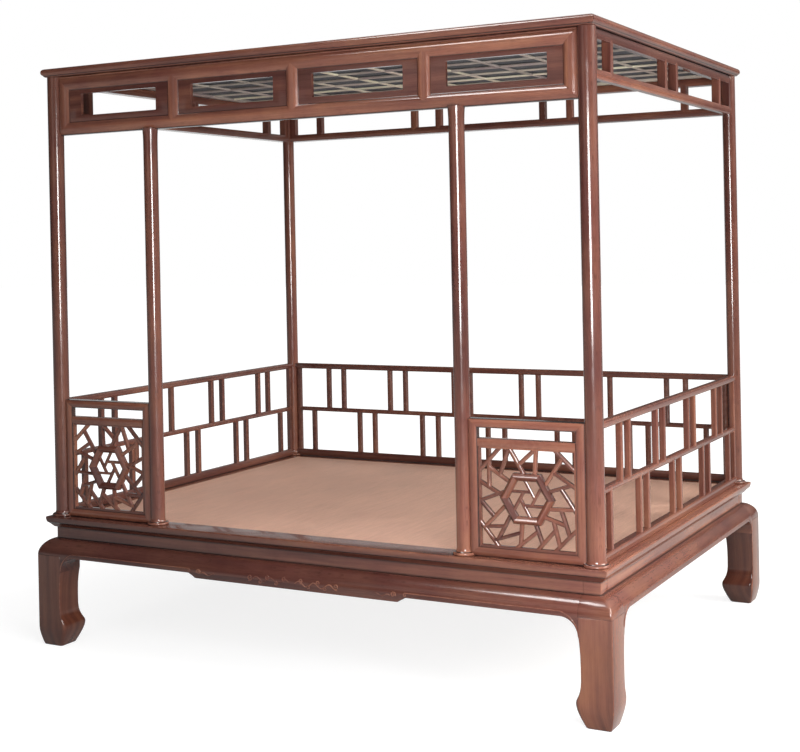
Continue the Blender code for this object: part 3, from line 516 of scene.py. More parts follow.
class Stock:
    """Closed shells of one piece, in a bmesh that carries a map of the grain."""

    def __init__(self, name: str, tone: float | None = None) -> None:
        """Starts an empty piece.

        Args:
            name: The piece's name, which also seeds its boards' tones.
            tone: One tone for all its boards, from 0 for dark to 1 for light.
        """
        self.name = name
        self.one_tone = tone
        self.bm = bmesh.new()
        self.grain = self.bm.loops.layers.uv.new("grain")
        self.tone = self.bm.loops.layers.uv.new("tone")
        self.luck = random.Random(name)

    def board(self, faces: Iterable[Face], axis: Vector, face: Vector, worn: Iterable[Face] = ()) -> None:
        """Lays one board's grain over faces.

        Args:
            faces: The board's faces.
            axis: Direction of the grain.
            face: Direction that the board's face looks in.
            worn: Faces along rubbed edges.
        """
        along = axis.normalized()
        side = along.cross(face).normalized()
        shift = Vector((self.luck.uniform(0, 9), self.luck.uniform(0, 9)))
        tone = self.luck.random() if self.one_tone is None else self.one_tone
        rubbed = set(worn)
        for item in faces:
            item.smooth = True
            for loop in item.loops:
                place = loop.vert.co
                loop[self.grain].uv = Vector((place.dot(along), place.dot(side) + place.dot(face))) + shift
                loop[self.tone].uv = (tone, 1.0 if item in rubbed else 0.0)

    def soil(self, dirty: Callable[[Vector], bool]) -> None:
        """Paints shade into quirks and corners, together with the old polish that gathers there, as a dark colour.

        Args:
            dirty: Says whether a point lies in one.
        """
        for item in self.bm.faces:
            for loop in item.loops:
                if dirty(loop.vert.co):
                    loop[self.tone].uv = (loop[self.tone].uv.x, -1.0)

    def weather(self, tone: Callable[[Vector], float]) -> None:
        """Varies the tone over the piece by place, painting light and shade into it.

        Args:
            tone: Gives the tone at a point.
        """
        for item in self.bm.faces:
            for loop in item.loops:
                loop[self.tone].uv = (tone(loop.vert.co), loop[self.tone].uv.y)

    def fade(self, end: float, tones: Pair) -> None:
        """Fades the tone of a front piece from its left to its right end, painting the fall of light along it.

        Args:
            end: Half its length.
            tones: Its tones at the left and the right end.
        """
        first, last = tones
        self.weather(lambda spot: first + (last - first) * (spot.x / (2 * end) + 0.5))

    def loft(self, rings: Sequence[Sequence[Vector]]) -> list[Face]:
        """Extrudes a closed ring through further rings.

        Args:
            rings: The rings, with the same number of points in the same order.

        Returns:
            The faces of the closed shell.
        """
        cap = self.bm.faces.new([self.bm.verts.new(point) for point in rings[0]])
        for before, after in zip(rings, rings[1:]):
            made = bmesh.ops.extrude_face_region(self.bm, geom=[cap, *cap.edges])["geom"]
            cap = next(item for item in made if isinstance(item, Face))
            order = {point.to_tuple(6): index for index, point in enumerate(before)}
            for vert in cap.verts:
                vert.co = after[order[vert.co.to_tuple(6)]]
        faces = self.island(cap.verts[0])
        bmesh.ops.recalc_face_normals(self.bm, faces=faces)
        return faces

    def bar(self, section: Section, start: Vector, end: Vector, face: Vector,
            head: float = 0.0, tail: float = 0.0, cuts: int = 0) -> list[Face]:
        """Runs a section along a straight line.

        Args:
            section: Points (u, v): u to the side, v towards the face.
            start: Where the line starts.
            end: Where it ends.
            face: Direction of v.
            head: Slope of the start's cut: how far it moves along for each metre of u.
            tail: Slope of the end's cut.
            cuts: Cross cuts that divide the bar, so that it can be bent.

        Returns:
            The bar's faces.
        """
        axis = (end - start).normalized()
        side = axis.cross(face).normalized()
        slopes = [head] + [0.0] * cuts + [tail]
        rings = []
        for index, slope in enumerate(slopes):
            middle = start.lerp(end, index / (cuts + 1))
            rings.append([middle + side * u + face * v + axis * slope * u for u, v in section])
        faces = self.loft(rings)
        self.board(faces, axis, face, self.narrow(faces))
        return faces

    def lay(self, section: Section, out: float, z: float, left: float, right: float, **slopes: float) -> None:
        """Runs a section along the front.

        Args:
            section: Points (u, v), with v outwards.
            out: Its distance from the bed's middle.
            z: Its height.
            left: Where it starts.
            right: Where it ends.
            slopes: Slopes of its ends' cuts.
        """
        self.bar(section, at_front(left, out, z), at_front(right, out, z), OUT, **slopes)

    def stand(self, section: Section, out: float, u: float, low: float, high: float, **slopes: float) -> None:
        """Runs a section upwards.

        Args:
            section: Points (u, v), with v outwards.
            out: Its distance from the bed's middle.
            u: Its place along the front.
            low: Its foot.
            high: Its head.
            slopes: Slopes of its ends' cuts.
        """
        self.bar(section, at_front(u, out, low), at_front(u, out, high), OUT, **slopes)

    @staticmethod
    def narrow(faces: Iterable[Face], width: float = 0.0034) -> list[Face]:
        """Faces of rounded edges, which polish and use rub lighter.

        Args:
            faces: Faces to choose from.
            width: Widest face of such an edge.

        Returns:
            The chosen faces.
        """
        return [item for item in faces
                if len(item.verts) == 4 and min(edge.calc_length() for edge in item.edges) < width]

    def island(self, seed: bmesh.types.BMVert) -> list[Face]:
        """Faces of the shell that a vertex belongs to.

        Args:
            seed: The vertex.

        Returns:
            The faces.
        """
        seen, todo = {seed}, [seed]
        faces: set[Face] = set()
        while todo:
            vert = todo.pop()
            faces.update(vert.link_faces)
            for edge in vert.link_edges:
                other = edge.other_vert(vert)
                if other not in seen:
                    seen.add(other)
                    todo.append(other)
        return list(faces)

    def mesh(self) -> bpy.types.Mesh:
        """Writes the bmesh to a mesh and frees it."""
        return written(self.bm, self.name)


def fused(first: bpy.types.Mesh, second: bpy.types.Mesh, operation: str, crossing: bool = False) -> bpy.types.Mesh:
    """Joins, cuts or trims one mesh by another.

    Args:
        first: The mesh that is kept.
        second: The tool.
        operation: UNION, DIFFERENCE or INTERSECT.
        crossing: True where shells in one mesh cross each other.

    Returns:
        The new mesh.
    """
    body, tool = (bpy.data.objects.new(mesh.name, mesh) for mesh in (first, second))
    for item in (body, tool):
        bpy.context.scene.collection.objects.link(item)
    modifier = body.modifiers.new("joint", "BOOLEAN")
    modifier.operation = operation
    modifier.object = tool
    modifier.solver = "EXACT"
    modifier.use_self = crossing
    evaluated = body.evaluated_get(bpy.context.evaluated_depsgraph_get())
    result = bpy.data.meshes.new_from_object(evaluated)
    result.name = first.name
    for item in (body, tool):
        bpy.data.objects.remove(item, do_unlink=True)
    return result


def place(name: str, mesh: bpy.types.Mesh, material: bpy.types.Material, slot: Slot, nodes: Sequence[str],
          turn: Matrix | None = None) -> bpy.types.Object:
    """Puts a finished mesh on the bed in place of its solids.

    Args:
        name: The piece's name.
        mesh: Its mesh.
        material: Its finish.
        slot: The record's finish that it goes by; not used.
        nodes: Solids that it stands for.
        turn: A turn about the bed's middle, put into the mesh.

    Returns:
        The piece.
    """
    if turn is not None:
        mesh.transform(turn)
    mesh.materials.clear()
    mesh.materials.append(material)
    for polygon in mesh.polygons:
        polygon.use_smooth = True
        polygon.material_index = 0
    mesh.set_sharp_from_angle(angle=EDGE_ANGLE)
    piece = bpy.data.objects.new(name, mesh)
    bpy.context.scene.collection.objects.link(piece)
    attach(piece, "root")
    if nodes:
        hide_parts(*nodes)
    LOG.info("%s: %d faces", name, len(mesh.polygons))
    return piece


def wooden(name: str, mesh: bpy.types.Mesh, *nodes: str, turn: Matrix | None = None) -> bpy.types.Object:
    """Places a piece of polished hardwood.

    Args:
        name: The piece's name.
        mesh: Its mesh.
        nodes: Solids that it stands for.
        turn: A turn about the bed's middle.

    Returns:
        The piece.
    """
    return place(name, mesh, POLISHED.material(), Slot.DARK_WOOD, nodes, turn)


def crowned(width: float, depth: float, crown: float, ease: float = 0.0022, steps: int = 8,
            back: bool = True) -> Section:
    """Section of a bar with a rounded face.

    Args:
        width: Across the face.
        depth: Front to back, at the middle.
        crown: How far the face falls away towards its edges.
        ease: Rounding of the corners.
        steps: Flats across the face.
        back: True where the back is rounded like the face.

    Returns:
        The section, centred.
    """
    half, edge = width / 2, width / 2 - ease

    def level(u: float) -> float:
        """Height of the rounded face."""
        return depth / 2 - crown * (u / half) ** 2

    across = [edge * (2 * i / steps - 1) for i in range(steps + 1)]
    low, cut = level(edge), 0.3 * ease
    corner = [(half - cut, low - cut), (half, low - ease)]
    front = [(u, level(u)) for u in across] + corner
    if back:
        return front + [(-u, -v) for u, v in front]
    rear = [(half, ease - depth / 2), (half - cut, cut - depth / 2), (edge, -depth / 2)]
    rear += [(-u, v) for u, v in reversed(rear)]
    return front + rear + [(-u, v) for u, v in reversed(corner)]


def rounded(width: float, height: float, radius: float, steps: int = 4) -> Section:
    """A rectangle with round corners.

    Args:
        width: Along u.
        height: Along v.
        radius: Of the corners.
        steps: Flats in each corner.

    Returns:
        The section, centred.
    """
    points: Section = []
    for quarter, (su, sv) in enumerate(((1, 1), (-1, 1), (-1, -1), (1, -1))):
        for step in range(steps + 1):
            angle = math.radians(90 * quarter + 90 * step / steps)
            points.append((su * (width / 2 - radius) + radius * math.cos(angle),
                           sv * (height / 2 - radius) + radius * math.sin(angle)))
    return points


def at_front(u: float, out: float, z: float) -> Vector:
    """A point at the front: along it, outwards from the bed's middle, and up."""
    return Vector((u, -out, z))


@dataclass
class Base:
    """Legs, aprons and waist boards."""

    hoof: tuple[tuple[float, float, float, float], ...] = (
        # height, inset of the outer faces, inset of the inner faces, rounding of the inner edges
        (0.0000, 0.0170, 0.0088, 0.0108), (0.0018, 0.0150, 0.0062, 0.0124), (0.0050, 0.0134, 0.0042, 0.0134),
        (0.0110, 0.0115, 0.0010, 0.0142), (0.0200, 0.0090, -0.0036, 0.0148), (0.0320, 0.0060, -0.0090, 0.0150),
        (0.0460, 0.0030, -0.0148, 0.0150), (0.0590, 0.0010, -0.0190, 0.0148), (0.0690, 0.0002, -0.0210, 0.0144),
        (0.0760, 0.0000, -0.0216, 0.0136), (0.0820, 0.0000, -0.0210, 0.0124), (0.0890, 0.0000, -0.0184, 0.0106),
        (0.0970, 0.0000, -0.0140, 0.0084), (0.1060, 0.0000, -0.0092, 0.0064), (0.1170, 0.0000, -0.0050, 0.0048),
        (0.1310, 0.0000, -0.0018, 0.0040),
        (0.1500, 0.0000, -0.0002, 0.0036), (0.1900, 0.0000, 0.0000, 0.0035), (0.2300, 0.0000, -0.0008, 0.0035),
        (0.2600, 0.0000, -0.0028, 0.0035), (0.2800, 0.0000, -0.0050, 0.0035), (0.2915, 0.0000, -0.0060, 0.0007),
        (0.3520, 0.0000, -0.0060, 0.0007), (0.3528, 0.0008, -0.0060, 0.0007), (0.3536, 0.0000, -0.0060, 0.0007),
    )
    arris: float = 0.0035
    arris_steps: int = 4
    joint: float = 0.0005  # rounding where a leg's head meets an apron
    crest: float = 0.0110  # extra rounding of a shoulder's corner, halfway up
    widening: float = 0.0060  # of a leg's head, where the apron's curve runs into it
    leg_tone: float = 0.70
    # painted shade: the left legs darker than the right ones
    left_leg_tone: float = 0.50
    shade_tone: float = 0.0  # faces of the back legs that look under the bed
    shoulder_drop: float = 0.060
    shoulder_steps: int = 14
    apron_height: float = 0.064
    side_rise: float = 0.008  # of the side aprons' lower edge
    waist_thick: float = 0.020
    waist_row: float = 0.007
    spandrel: float = 0.060
    spandrel_tip: float = 0.0006
    drop_half: float = 0.445
    drop_edge: tuple[Pair, ...] = (  # of the front apron's drop, from its start: along and down
        (0.008, 0.0), (0.003, -0.0008), (0.000, -0.0030), (-0.008, -0.0065), (-0.018, -0.0125), (-0.023, -0.0160),
        (-0.028, -0.0170),
    )
    curve_steps: int = 14
    lower_round: float = 0.0025  # of an apron's lower edge
    tool_drop: float = 0.120  # how far the shape that cuts the shoulder reaches below an apron
    crease: float = 0.0012  # how far under the shoulder's foot a leg's crease lies
    rub: float = 0.0020  # widest face of a leg's rubbed edges
    bead: float = 0.0021
    bead_tone: float = 0.7
    bead_start: float = 0.002  # above the apron's edge, at the leg
    bead_lift: float = 0.0155  # the same along the straight edge
    curl: float = 0.0062  # radius of the curl at a front bead's end
    curl_eye: float = 0.0018
    curl_past: float = 0.004  # how far it lies past the drop's start
    curl_run: float = 0.050  # straight stretch before it
    relief: float = 0.0024  # radius of the carved stems
    relief_lift: float = 0.006  # of their middle line above the straight edge
    sunk: float = 0.25  # share of a stem's radius that its middle line lies under the face
    tip: float = 0.6  # share of the radius that is left at its end
    scroll_eye: float = 0.0016
    scrolls: tuple[tuple[float, float, float, float, float], ...] = (
        # on one half: place along, lift, size, first and last angle
        (0.034, 0.0100, 0.0085, -90.0, 350.0), (0.068, -0.0080, 0.0078, 90.0, 500.0),
        (0.104, 0.0095, 0.0085, -90.0, 350.0), (0.136, -0.0080, 0.0076, 90.0, 500.0),
        (0.178, 0.0040, 0.0105, 200.0, 700.0), (0.404, 0.0010, 0.0100, -20.0, 460.0),
    )

    @staticmethod
    def apron_tones(side: Side) -> Pair:
        """Tones of a side's apron at its left and right end: painted shade darkening the front towards its left end,
        painted light on the right side.
        """
        return {Side.FRONT: (0.0, 0.22), Side.RIGHT: (0.45, 0.45)}.get(side, (0.22, 0.22))

    @staticmethod
    def waist_tones(side: Side) -> Pair:
        """Tones of a side's waist board at its left and right end: painted shade darkening the front towards its
        left end, painted light on the right side.
        """
        return {Side.FRONT: (0.0, 0.80), Side.RIGHT: (1.0, 1.0)}.get(side, (0.85, 0.85))

    def shoulder(self, outer: float, waist: float) -> list[Pair]:
        """Rounded shoulder as (distance out, height), from the outer face to the waist.

        Args:
            outer: The outer face's distance from the bed's middle.
            waist: The waist's.

        Returns:
            Points of a quarter of an ellipse.
        """
        foot = BED.apron_top - self.shoulder_drop
        points = []
        for step in range(self.shoulder_steps + 1):
            angle = math.radians(90 * step / self.shoulder_steps)
            points.append((waist + (outer - waist) * math.cos(angle), foot + self.shoulder_drop * math.sin(angle)))
        return points

    def surface(self, outer: float, waist: float, z: float) -> float:
        """Distance of the apron's face from the bed's middle, at one height.

        Args:
            outer: The outer face's distance.
            waist: The waist's.
            z: The height.

        Returns:
            The distance.
        """
        share = min(max((z - BED.apron_top) / self.shoulder_drop + 1, 0.0), 1.0)
        return waist + (outer - waist) * math.sqrt(1 - share ** 2)

    def ring(self, sx: int, sy: int, level: tuple[float, float, float, float]) -> list[Vector]:
        """Points round a leg at one level.

        Args:
            sx: Sign of X.
            sy: Sign of Y.
            level: Height, outer inset, inner inset and rounding of the inner edges.

        Returns:
            The points, from the outer edge on.
        """
        z, out, inn, soft = level
        share = out / (BED.leg_x - BED.waist_x) if z > BED.apron_top - self.shoulder_drop else 0.0
        far = (BED.leg_x - out, BED.leg_y - out)
        near = (BED.leg_x - BED.leg_size + inn, BED.leg_y - BED.leg_size + inn)
        points = []
        for quarter, (ox, oy) in enumerate(((1, 1), (-1, 1), (-1, -1), (1, -1))):
            radius = self.arris + 4 * self.crest * share * (1 - share) if ox > 0 and oy > 0 else soft
            x, y = (far if ox > 0 else near)[0] - ox * radius, (far if oy > 0 else near)[1] - oy * radius
            for step in range(self.arris_steps + 1):
                angle = math.radians(90 * quarter + 90 * step / self.arris_steps)
                points.append(Vector((sx * (x + radius * math.cos(angle)), sy * (y + radius * math.sin(angle)), z)))
        return points

    def leg(self, row: str, side: str, sx: int, sy: int) -> None:
        """One leg, lofted from the sole over the hoof and the shoulder to the seat.

        Args:
            row: front or back.
            side: left or right.
            sx: Sign of X.
            sy: Sign of Y.
        """
        name = f"leg_{row}_{side}"
        stock = Stock(name, self.leg_tone if sx > 0 else self.left_leg_tone)
        inset = BED.leg_x - BED.waist_x
        levels = list(self.hoof)
        levels += [(z, inset * (1 - share), -self.widening, self.joint) for share, z in self.shoulder(1.0, 0.0)]
        levels += [(z, inset, -self.widening, self.joint) for z in self.waist_levels()]
        faces = stock.loft([self.ring(sx, sy, level) for level in levels])
        crease = BED.apron_top - self.shoulder_drop
        rubbed = [item for item in stock.narrow(faces, self.rub)
                  if item.calc_center_median().z < crease - self.spandrel]
        stock.board(faces, UP, OUT, rubbed)
        if sy > 0:
            stock.one_tone = self.shade_tone
            stock.board([item for item in faces if item.normal.dot(OUT) > FACING], UP, OUT, rubbed)
        upper = [item for item in faces if item.calc_center_median().z > crease]
        for across in (Side.FRONT if sy < 0 else Side.BACK, Side.RIGHT if sx > 0 else Side.LEFT):
            self.head(stock, upper, across, sx > 0)
        # painted shade, with old polish, as dark lines at the crease and where the leg meets apron, waist and seat
        lines = (crease - self.crease, BED.apron_top, BED.seat_bottom - SEAM)
        stock.soil(lambda spot: any(abs(spot.z - line) < TOUCH for line in lines))
        wooden(name + "_hoofed", stock.mesh(), name)

    def head(self, stock: Stock, faces: Sequence[Face], side: Side, right: bool) -> None:
        """Runs the grain of an apron and a waist board on over a leg's head.

        Args:
            stock: The leg.
            faces: Faces of its head.
            side: Which side's boards run on.
            right: True where the boards' right ends do.
        """
        along, out = side.turn() @ ALONG, side.turn() @ OUT
        seen = [item for item in faces if item.normal.dot(out) > FACING * item.normal.to_2d().length]
        boards = ((f"apron_{side.label()}_section", 0.0, BED.apron_top, self.apron_tones(side)),
                  (f"waist_{side.label()}", BED.apron_top, BED.seat_top, self.waist_tones(side)))
        for name, low, high, tones in boards:
            stock.luck, stock.one_tone = random.Random(name), tones[right]
            stock.board([item for item in seen if low < item.calc_center_median().z < high], along, UP)

    def waist_levels(self) -> list[float]:
        """Heights that divide the waist: a row along both edges, and the top."""
        return [BED.apron_top + self.waist_row, BED.seat_bottom - self.waist_row, BED.seat_bottom - SEAM]

    def lower_edge(self, end: float, bottom: float, drop: bool) -> list[Pair]:
        """Lower edge of an apron as (along, height), from left to right.

        Args:
            end: Half the apron's length.
            bottom: Height of its straight lower edge.
            drop: True where the middle hangs lower.

        Returns:
            Points of the edge.
        """
        centre = end - self.spandrel_tip - self.spandrel
        half = [(end, bottom - self.spandrel)]
        for step in range(self.curve_steps + 1):
            angle = math.radians(90 * step / self.curve_steps)
            half.append((centre + self.spandrel * math.cos(angle), bottom - self.spandrel * (1 - math.sin(angle))))
        if drop:
            half += [(self.drop_half + du, bottom + dz) for du, dz in self.drop_edge]
        return [(-u, z) for u, z in half] + list(reversed(half))

    def apron(self, side: Side, end: float, outer: float, waist: float) -> None:
        """An apron: its elevation cut out, eased along the lower edge and rounded at the shoulder.

        Args:
            side: Which side it is on.
            end: Half its length.
            outer: Its face's distance from the bed's middle.
            waist: The waist's distance.
        """
        node = "apron_" + side.label()
        stock, tool = Stock(node, 0.0), Stock(node + "_section", 0.0)
        back = waist - self.waist_thick
        bottom = BED.apron_top - self.apron_height + (self.side_rise if side in (Side.LEFT, Side.RIGHT) else 0.0)
        top = BED.apron_top + OVERRUN
        outline = self.lower_edge(end, bottom, side is Side.FRONT) + [(end, top), (-end, top)]
        front = [stock.bm.verts.new(at_front(u, outer, z)) for u, z in outline]
        pulled(stock.bm, [stock.bm.faces.new(front)], at_front(0.0, back - outer, 0.0))
        low = [e for e in stock.bm.edges if all(v in front and v.co.z < BED.apron_top for v in e.verts)]
        rounding = eased(stock.bm, low, self.lower_round)
        stock.board(stock.bm.faces, ALONG, OUT, rounding)
        inside, outside, floor = back - OVERRUN, outer + OVERRUN, bottom - self.tool_drop
        section = [(inside, floor), (outside, floor), (outside, BED.apron_top - self.shoulder_drop)]
        section += self.shoulder(outer, waist) + [(inside, BED.apron_top)]
        far = end + OVERRUN
        tool.bar(section, at_front(-far, 0.0, 0.0), at_front(far, 0.0, 0.0), UP)
        # painted shade, with old polish, along the apron's top; its tone paints light and shade by side and along
        # the front
        tool.soil(lambda spot: spot.z > BED.apron_top - TOUCH)
        for item in (stock, tool):
            item.fade(end, self.apron_tones(side))
        mesh = fused(stock.mesh(), tool.mesh(), "INTERSECT")
        wooden(node + "_moulded", mesh, node, turn=side.turn())
        self.beads(side, end, bottom, outer, waist)

    def beads(self, side: Side, end: float, bottom: float, outer: float, waist: float) -> None:
        """Thin beads that follow an apron's lower edge on its face.

        Args:
            side: Which side it is on.
            end: Half the apron's length.
            bottom: Height of its straight lower edge.
            outer: Its face's distance from the bed's middle.
            waist: The waist's distance.
        """
        stock = Stock("apron_bead_" + side.label(), self.bead_tone)
        centre = end - self.spandrel_tip - self.spandrel
        half = []
        for step in range(1, self.curve_steps + 1):
            share = step / self.curve_steps
            reach = self.spandrel + self.bead_start + (self.bead_lift - self.bead_start) * share ** 2
            angle = math.radians(90 * share)
            half.append((centre + reach * math.cos(angle), bottom - self.spandrel + reach * math.sin(angle)))
        level = bottom + self.bead_lift
        if side is Side.FRONT:
            middle = (self.drop_half + self.curl_past, level - self.curl)
            half.append((middle[0] + self.curl_run, level))
            half += spiral(middle, self.curl, self.curl_eye, 90.0, 430.0)
            lines = [half, [(-u, z) for u, z in half]]
        else:
            lines = [half + [(-u, z) for u, z in reversed(half)]]
        for line in lines:
            self.stem(stock, line, self.bead, outer, waist)
        if side is Side.FRONT:
            self.carving(stock, bottom, outer, waist)
        wooden(stock.name, stock.mesh(), turn=side.turn())

    def stem(self, stock: Stock, line: Sequence[Pair], radius: float, outer: float, waist: float) -> None:
        """A carved stem that lies half sunk in the apron's face and thins out at its end.

        Args:
            stock: The piece that gets it.
            line: Points as (along, height).
            radius: Half its width.
            outer: The face's distance from the bed's middle.
            waist: The waist's distance.
        """
        path = [at_front(u, self.surface(outer, waist, z) - self.sunk * radius, z) for u, z in line]
        radii = [radius] * (len(path) - 1) + [self.tip * radius]
        sweep(stock, path, radii, OUT)

    def carving(self, stock: Stock, bottom: float, outer: float, waist: float) -> None:
        """Low scrolls on the front apron's drop: curled stems to both sides of a middle bud.

        Args:
            stock: The piece that gets them.
            bottom: Height of the apron's straight lower edge.
            outer: Its face's distance from the bed's middle.
            waist: The waist's distance.
        """
        level = bottom + self.relief_lift
        lines = [spiral((place, level + lift), size, self.scroll_eye, first, last)
                 for place, lift, size, first, last in self.scrolls]
        lines.append(self.waved(0.012, 0.0062, 29, level, 0.0085, math.pi / 5))
        lines.append(self.waved(0.395, -0.0080, 9, level - 0.004, 0.0045, 1.1))
        for sign in (-1, 1):
            for line in lines:
                self.stem(stock, [(sign * u, z) for u, z in line], self.relief, outer, waist)

    @staticmethod
    def waved(first: float, step: float, count: int, level: float, height: float, turn: float) -> list[Pair]:
        """A waved line.

        Args:
            first: Where it starts along the apron.
            step: From point to point.
            count: Points.
            level: Height of its middle.
            height: Of the waves above the middle.
            turn: Angle from point to point, in radians.

        Returns:
            Its points as (along, height).
        """
        return [(first + step * i, level + height * math.sin(turn * i)) for i in range(count)]

    def waist(self, side: Side, end: float, waist: float) -> None:
        """A recessed board under the seat.

        Args:
            side: Which side it is on.
            end: Half its length.
            waist: Its face's distance from the bed's middle.
        """
        node = "waist_" + side.label()
        stock = Stock(node, 0.0)
        low, high, back = BED.apron_top + SEAM, BED.seat_bottom - SEAM, waist - self.waist_thick
        section = [(back, high), (back, low), (waist, low)] + [(waist, z) for z in self.waist_levels()]
        stock.bar(section, at_front(-end, 0.0, 0.0), at_front(end, 0.0, 0.0), UP)
        # painted shade, with old polish, along both edges under the seat; its tone paints light and shade by side
        # and along the front
        stock.soil(lambda spot: spot.z < low + TOUCH or spot.z > high - TOUCH)
        stock.fade(end, self.waist_tones(side))
        wooden(node + "_board", stock.mesh(), node, turn=side.turn())

    def build(self) -> None:
        """Builds the base."""
        for row, sy in (("front", -1), ("back", 1)):
            for side, sx in (("left", -1), ("right", 1)):
                self.leg(row, side, sx, sy)
        gap = BED.leg_size + self.widening + SEAM
        for side in Side:
            half, outer = side.reach(BED.leg_x, BED.leg_y)
            waist = side.reach(BED.waist_x, BED.waist_y)[1]
            self.apron(side, half - gap, outer, waist)
            self.waist(side, half - gap, waist)


def spiral(centre: Pair, size: float, eye: float, first: float, last: float, steps: int = 26) -> list[Pair]:
    """A scroll that winds inwards.

    Args:
        centre: Its middle.
        size: Radius at its start.
        eye: Radius at its end.
        first: Angle at its start, in degrees.
        last: Angle at its end.
        steps: Chords along it.

    Returns:
        Its points.
    """
    points = []
    for step in range(steps + 1):
        share = step / steps
        angle, reach = math.radians(first + (last - first) * share), size + (eye - size) * share
        points.append((centre[0] + reach * math.cos(angle), centre[1] + reach * math.sin(angle)))
    return points


def sweep(stock: Stock, path: Sequence[Vector], radii: Sequence[float], face: Vector, sides: int = 8) -> None:
    """Draws a round rod along a path.

    Args:
        stock: The piece that gets it.
        path: Points of its centre line.
        radii: Radius at each point.
        face: A direction square to the path.
        sides: Flats round it.
    """
    turns = [2 * math.pi * k / sides for k in range(sides)]
    rings = []
    for index, (point, radius) in enumerate(zip(path, radii)):
        axis = path[min(index + 1, len(path) - 1)] - path[max(index - 1, 0)]
        side = axis.cross(face).normalized()
        up = side.cross(axis).normalized()
        rings.append([point + (side * math.cos(turn) + up * math.sin(turn)) * radius for turn in turns])
    faces = stock.loft(rings)
    stock.board(faces, ALONG, face, faces)


def mitred_rail(node: str, side: Side, section: Section, along: float, out: float, tones: Pair,
                dirty: Callable[[Vector], bool]) -> None:
    """A moulded rail with mitred ends, put in its place.

    Args:
        node: The solid that it stands for.
        side: Which side it is on.
        section: Points (distance out from its edge, height).
        along: Half its length at the outer edge.
        out: Its outer edge's distance from the bed's middle.
        tones: Its tones at the left and the right end, painting light and shade by place.
        dirty: Says whether a point lies in a quirk.
    """
    stock = Stock(node, 0.0)
    stock.bar(section, at_front(SEAM - along, out, 0.0), at_front(along - SEAM, out, 0.0), UP, head=-1.0, tail=1.0)
    # painted shade, with old polish, in the quirks; the tone paints light and shade by side and along the front
    stock.soil(dirty)
    stock.fade(along, tones)
    wooden(node + "_moulded", stock.mesh(), node, turn=side.turn())


def mitred_frame(stock: Stock, outer: Sequence[float], inner: Sequence[float], out: float,
                 section: Callable[[float], Section]) -> None:
    """Four moulded bars round an opening, mitred at the corners.

    Args:
        stock: The piece that gets them.
        outer: Left, low, right and high edge of the frame.
        inner: The same of the opening.
        out: Distance of the bars' middle from the bed's.
        section: Gives a bar's section from its width.
    """
    left, foot = inner[0] - outer[0], inner[1] - outer[1]
    right, head = outer[2] - inner[2], outer[3] - inner[3]
    start, end = outer[0] + left / 2 + SEAM, outer[2] - right / 2 - SEAM
    low, high = outer[1] + foot / 2, outer[3] - head / 2
    for z, width, sign in ((low, foot, -1), (high, head, 1)):
        stock.lay(section(width), out, z, start, end, head=sign * left / width, tail=-sign * right / width)
    for u, width, sign in ((outer[0] + left / 2, left, 1), (outer[2] - right / 2, right, -1)):
        stock.stand(section(width), out, u, low, high, head=sign * foot / width, tail=-sign * head / width)


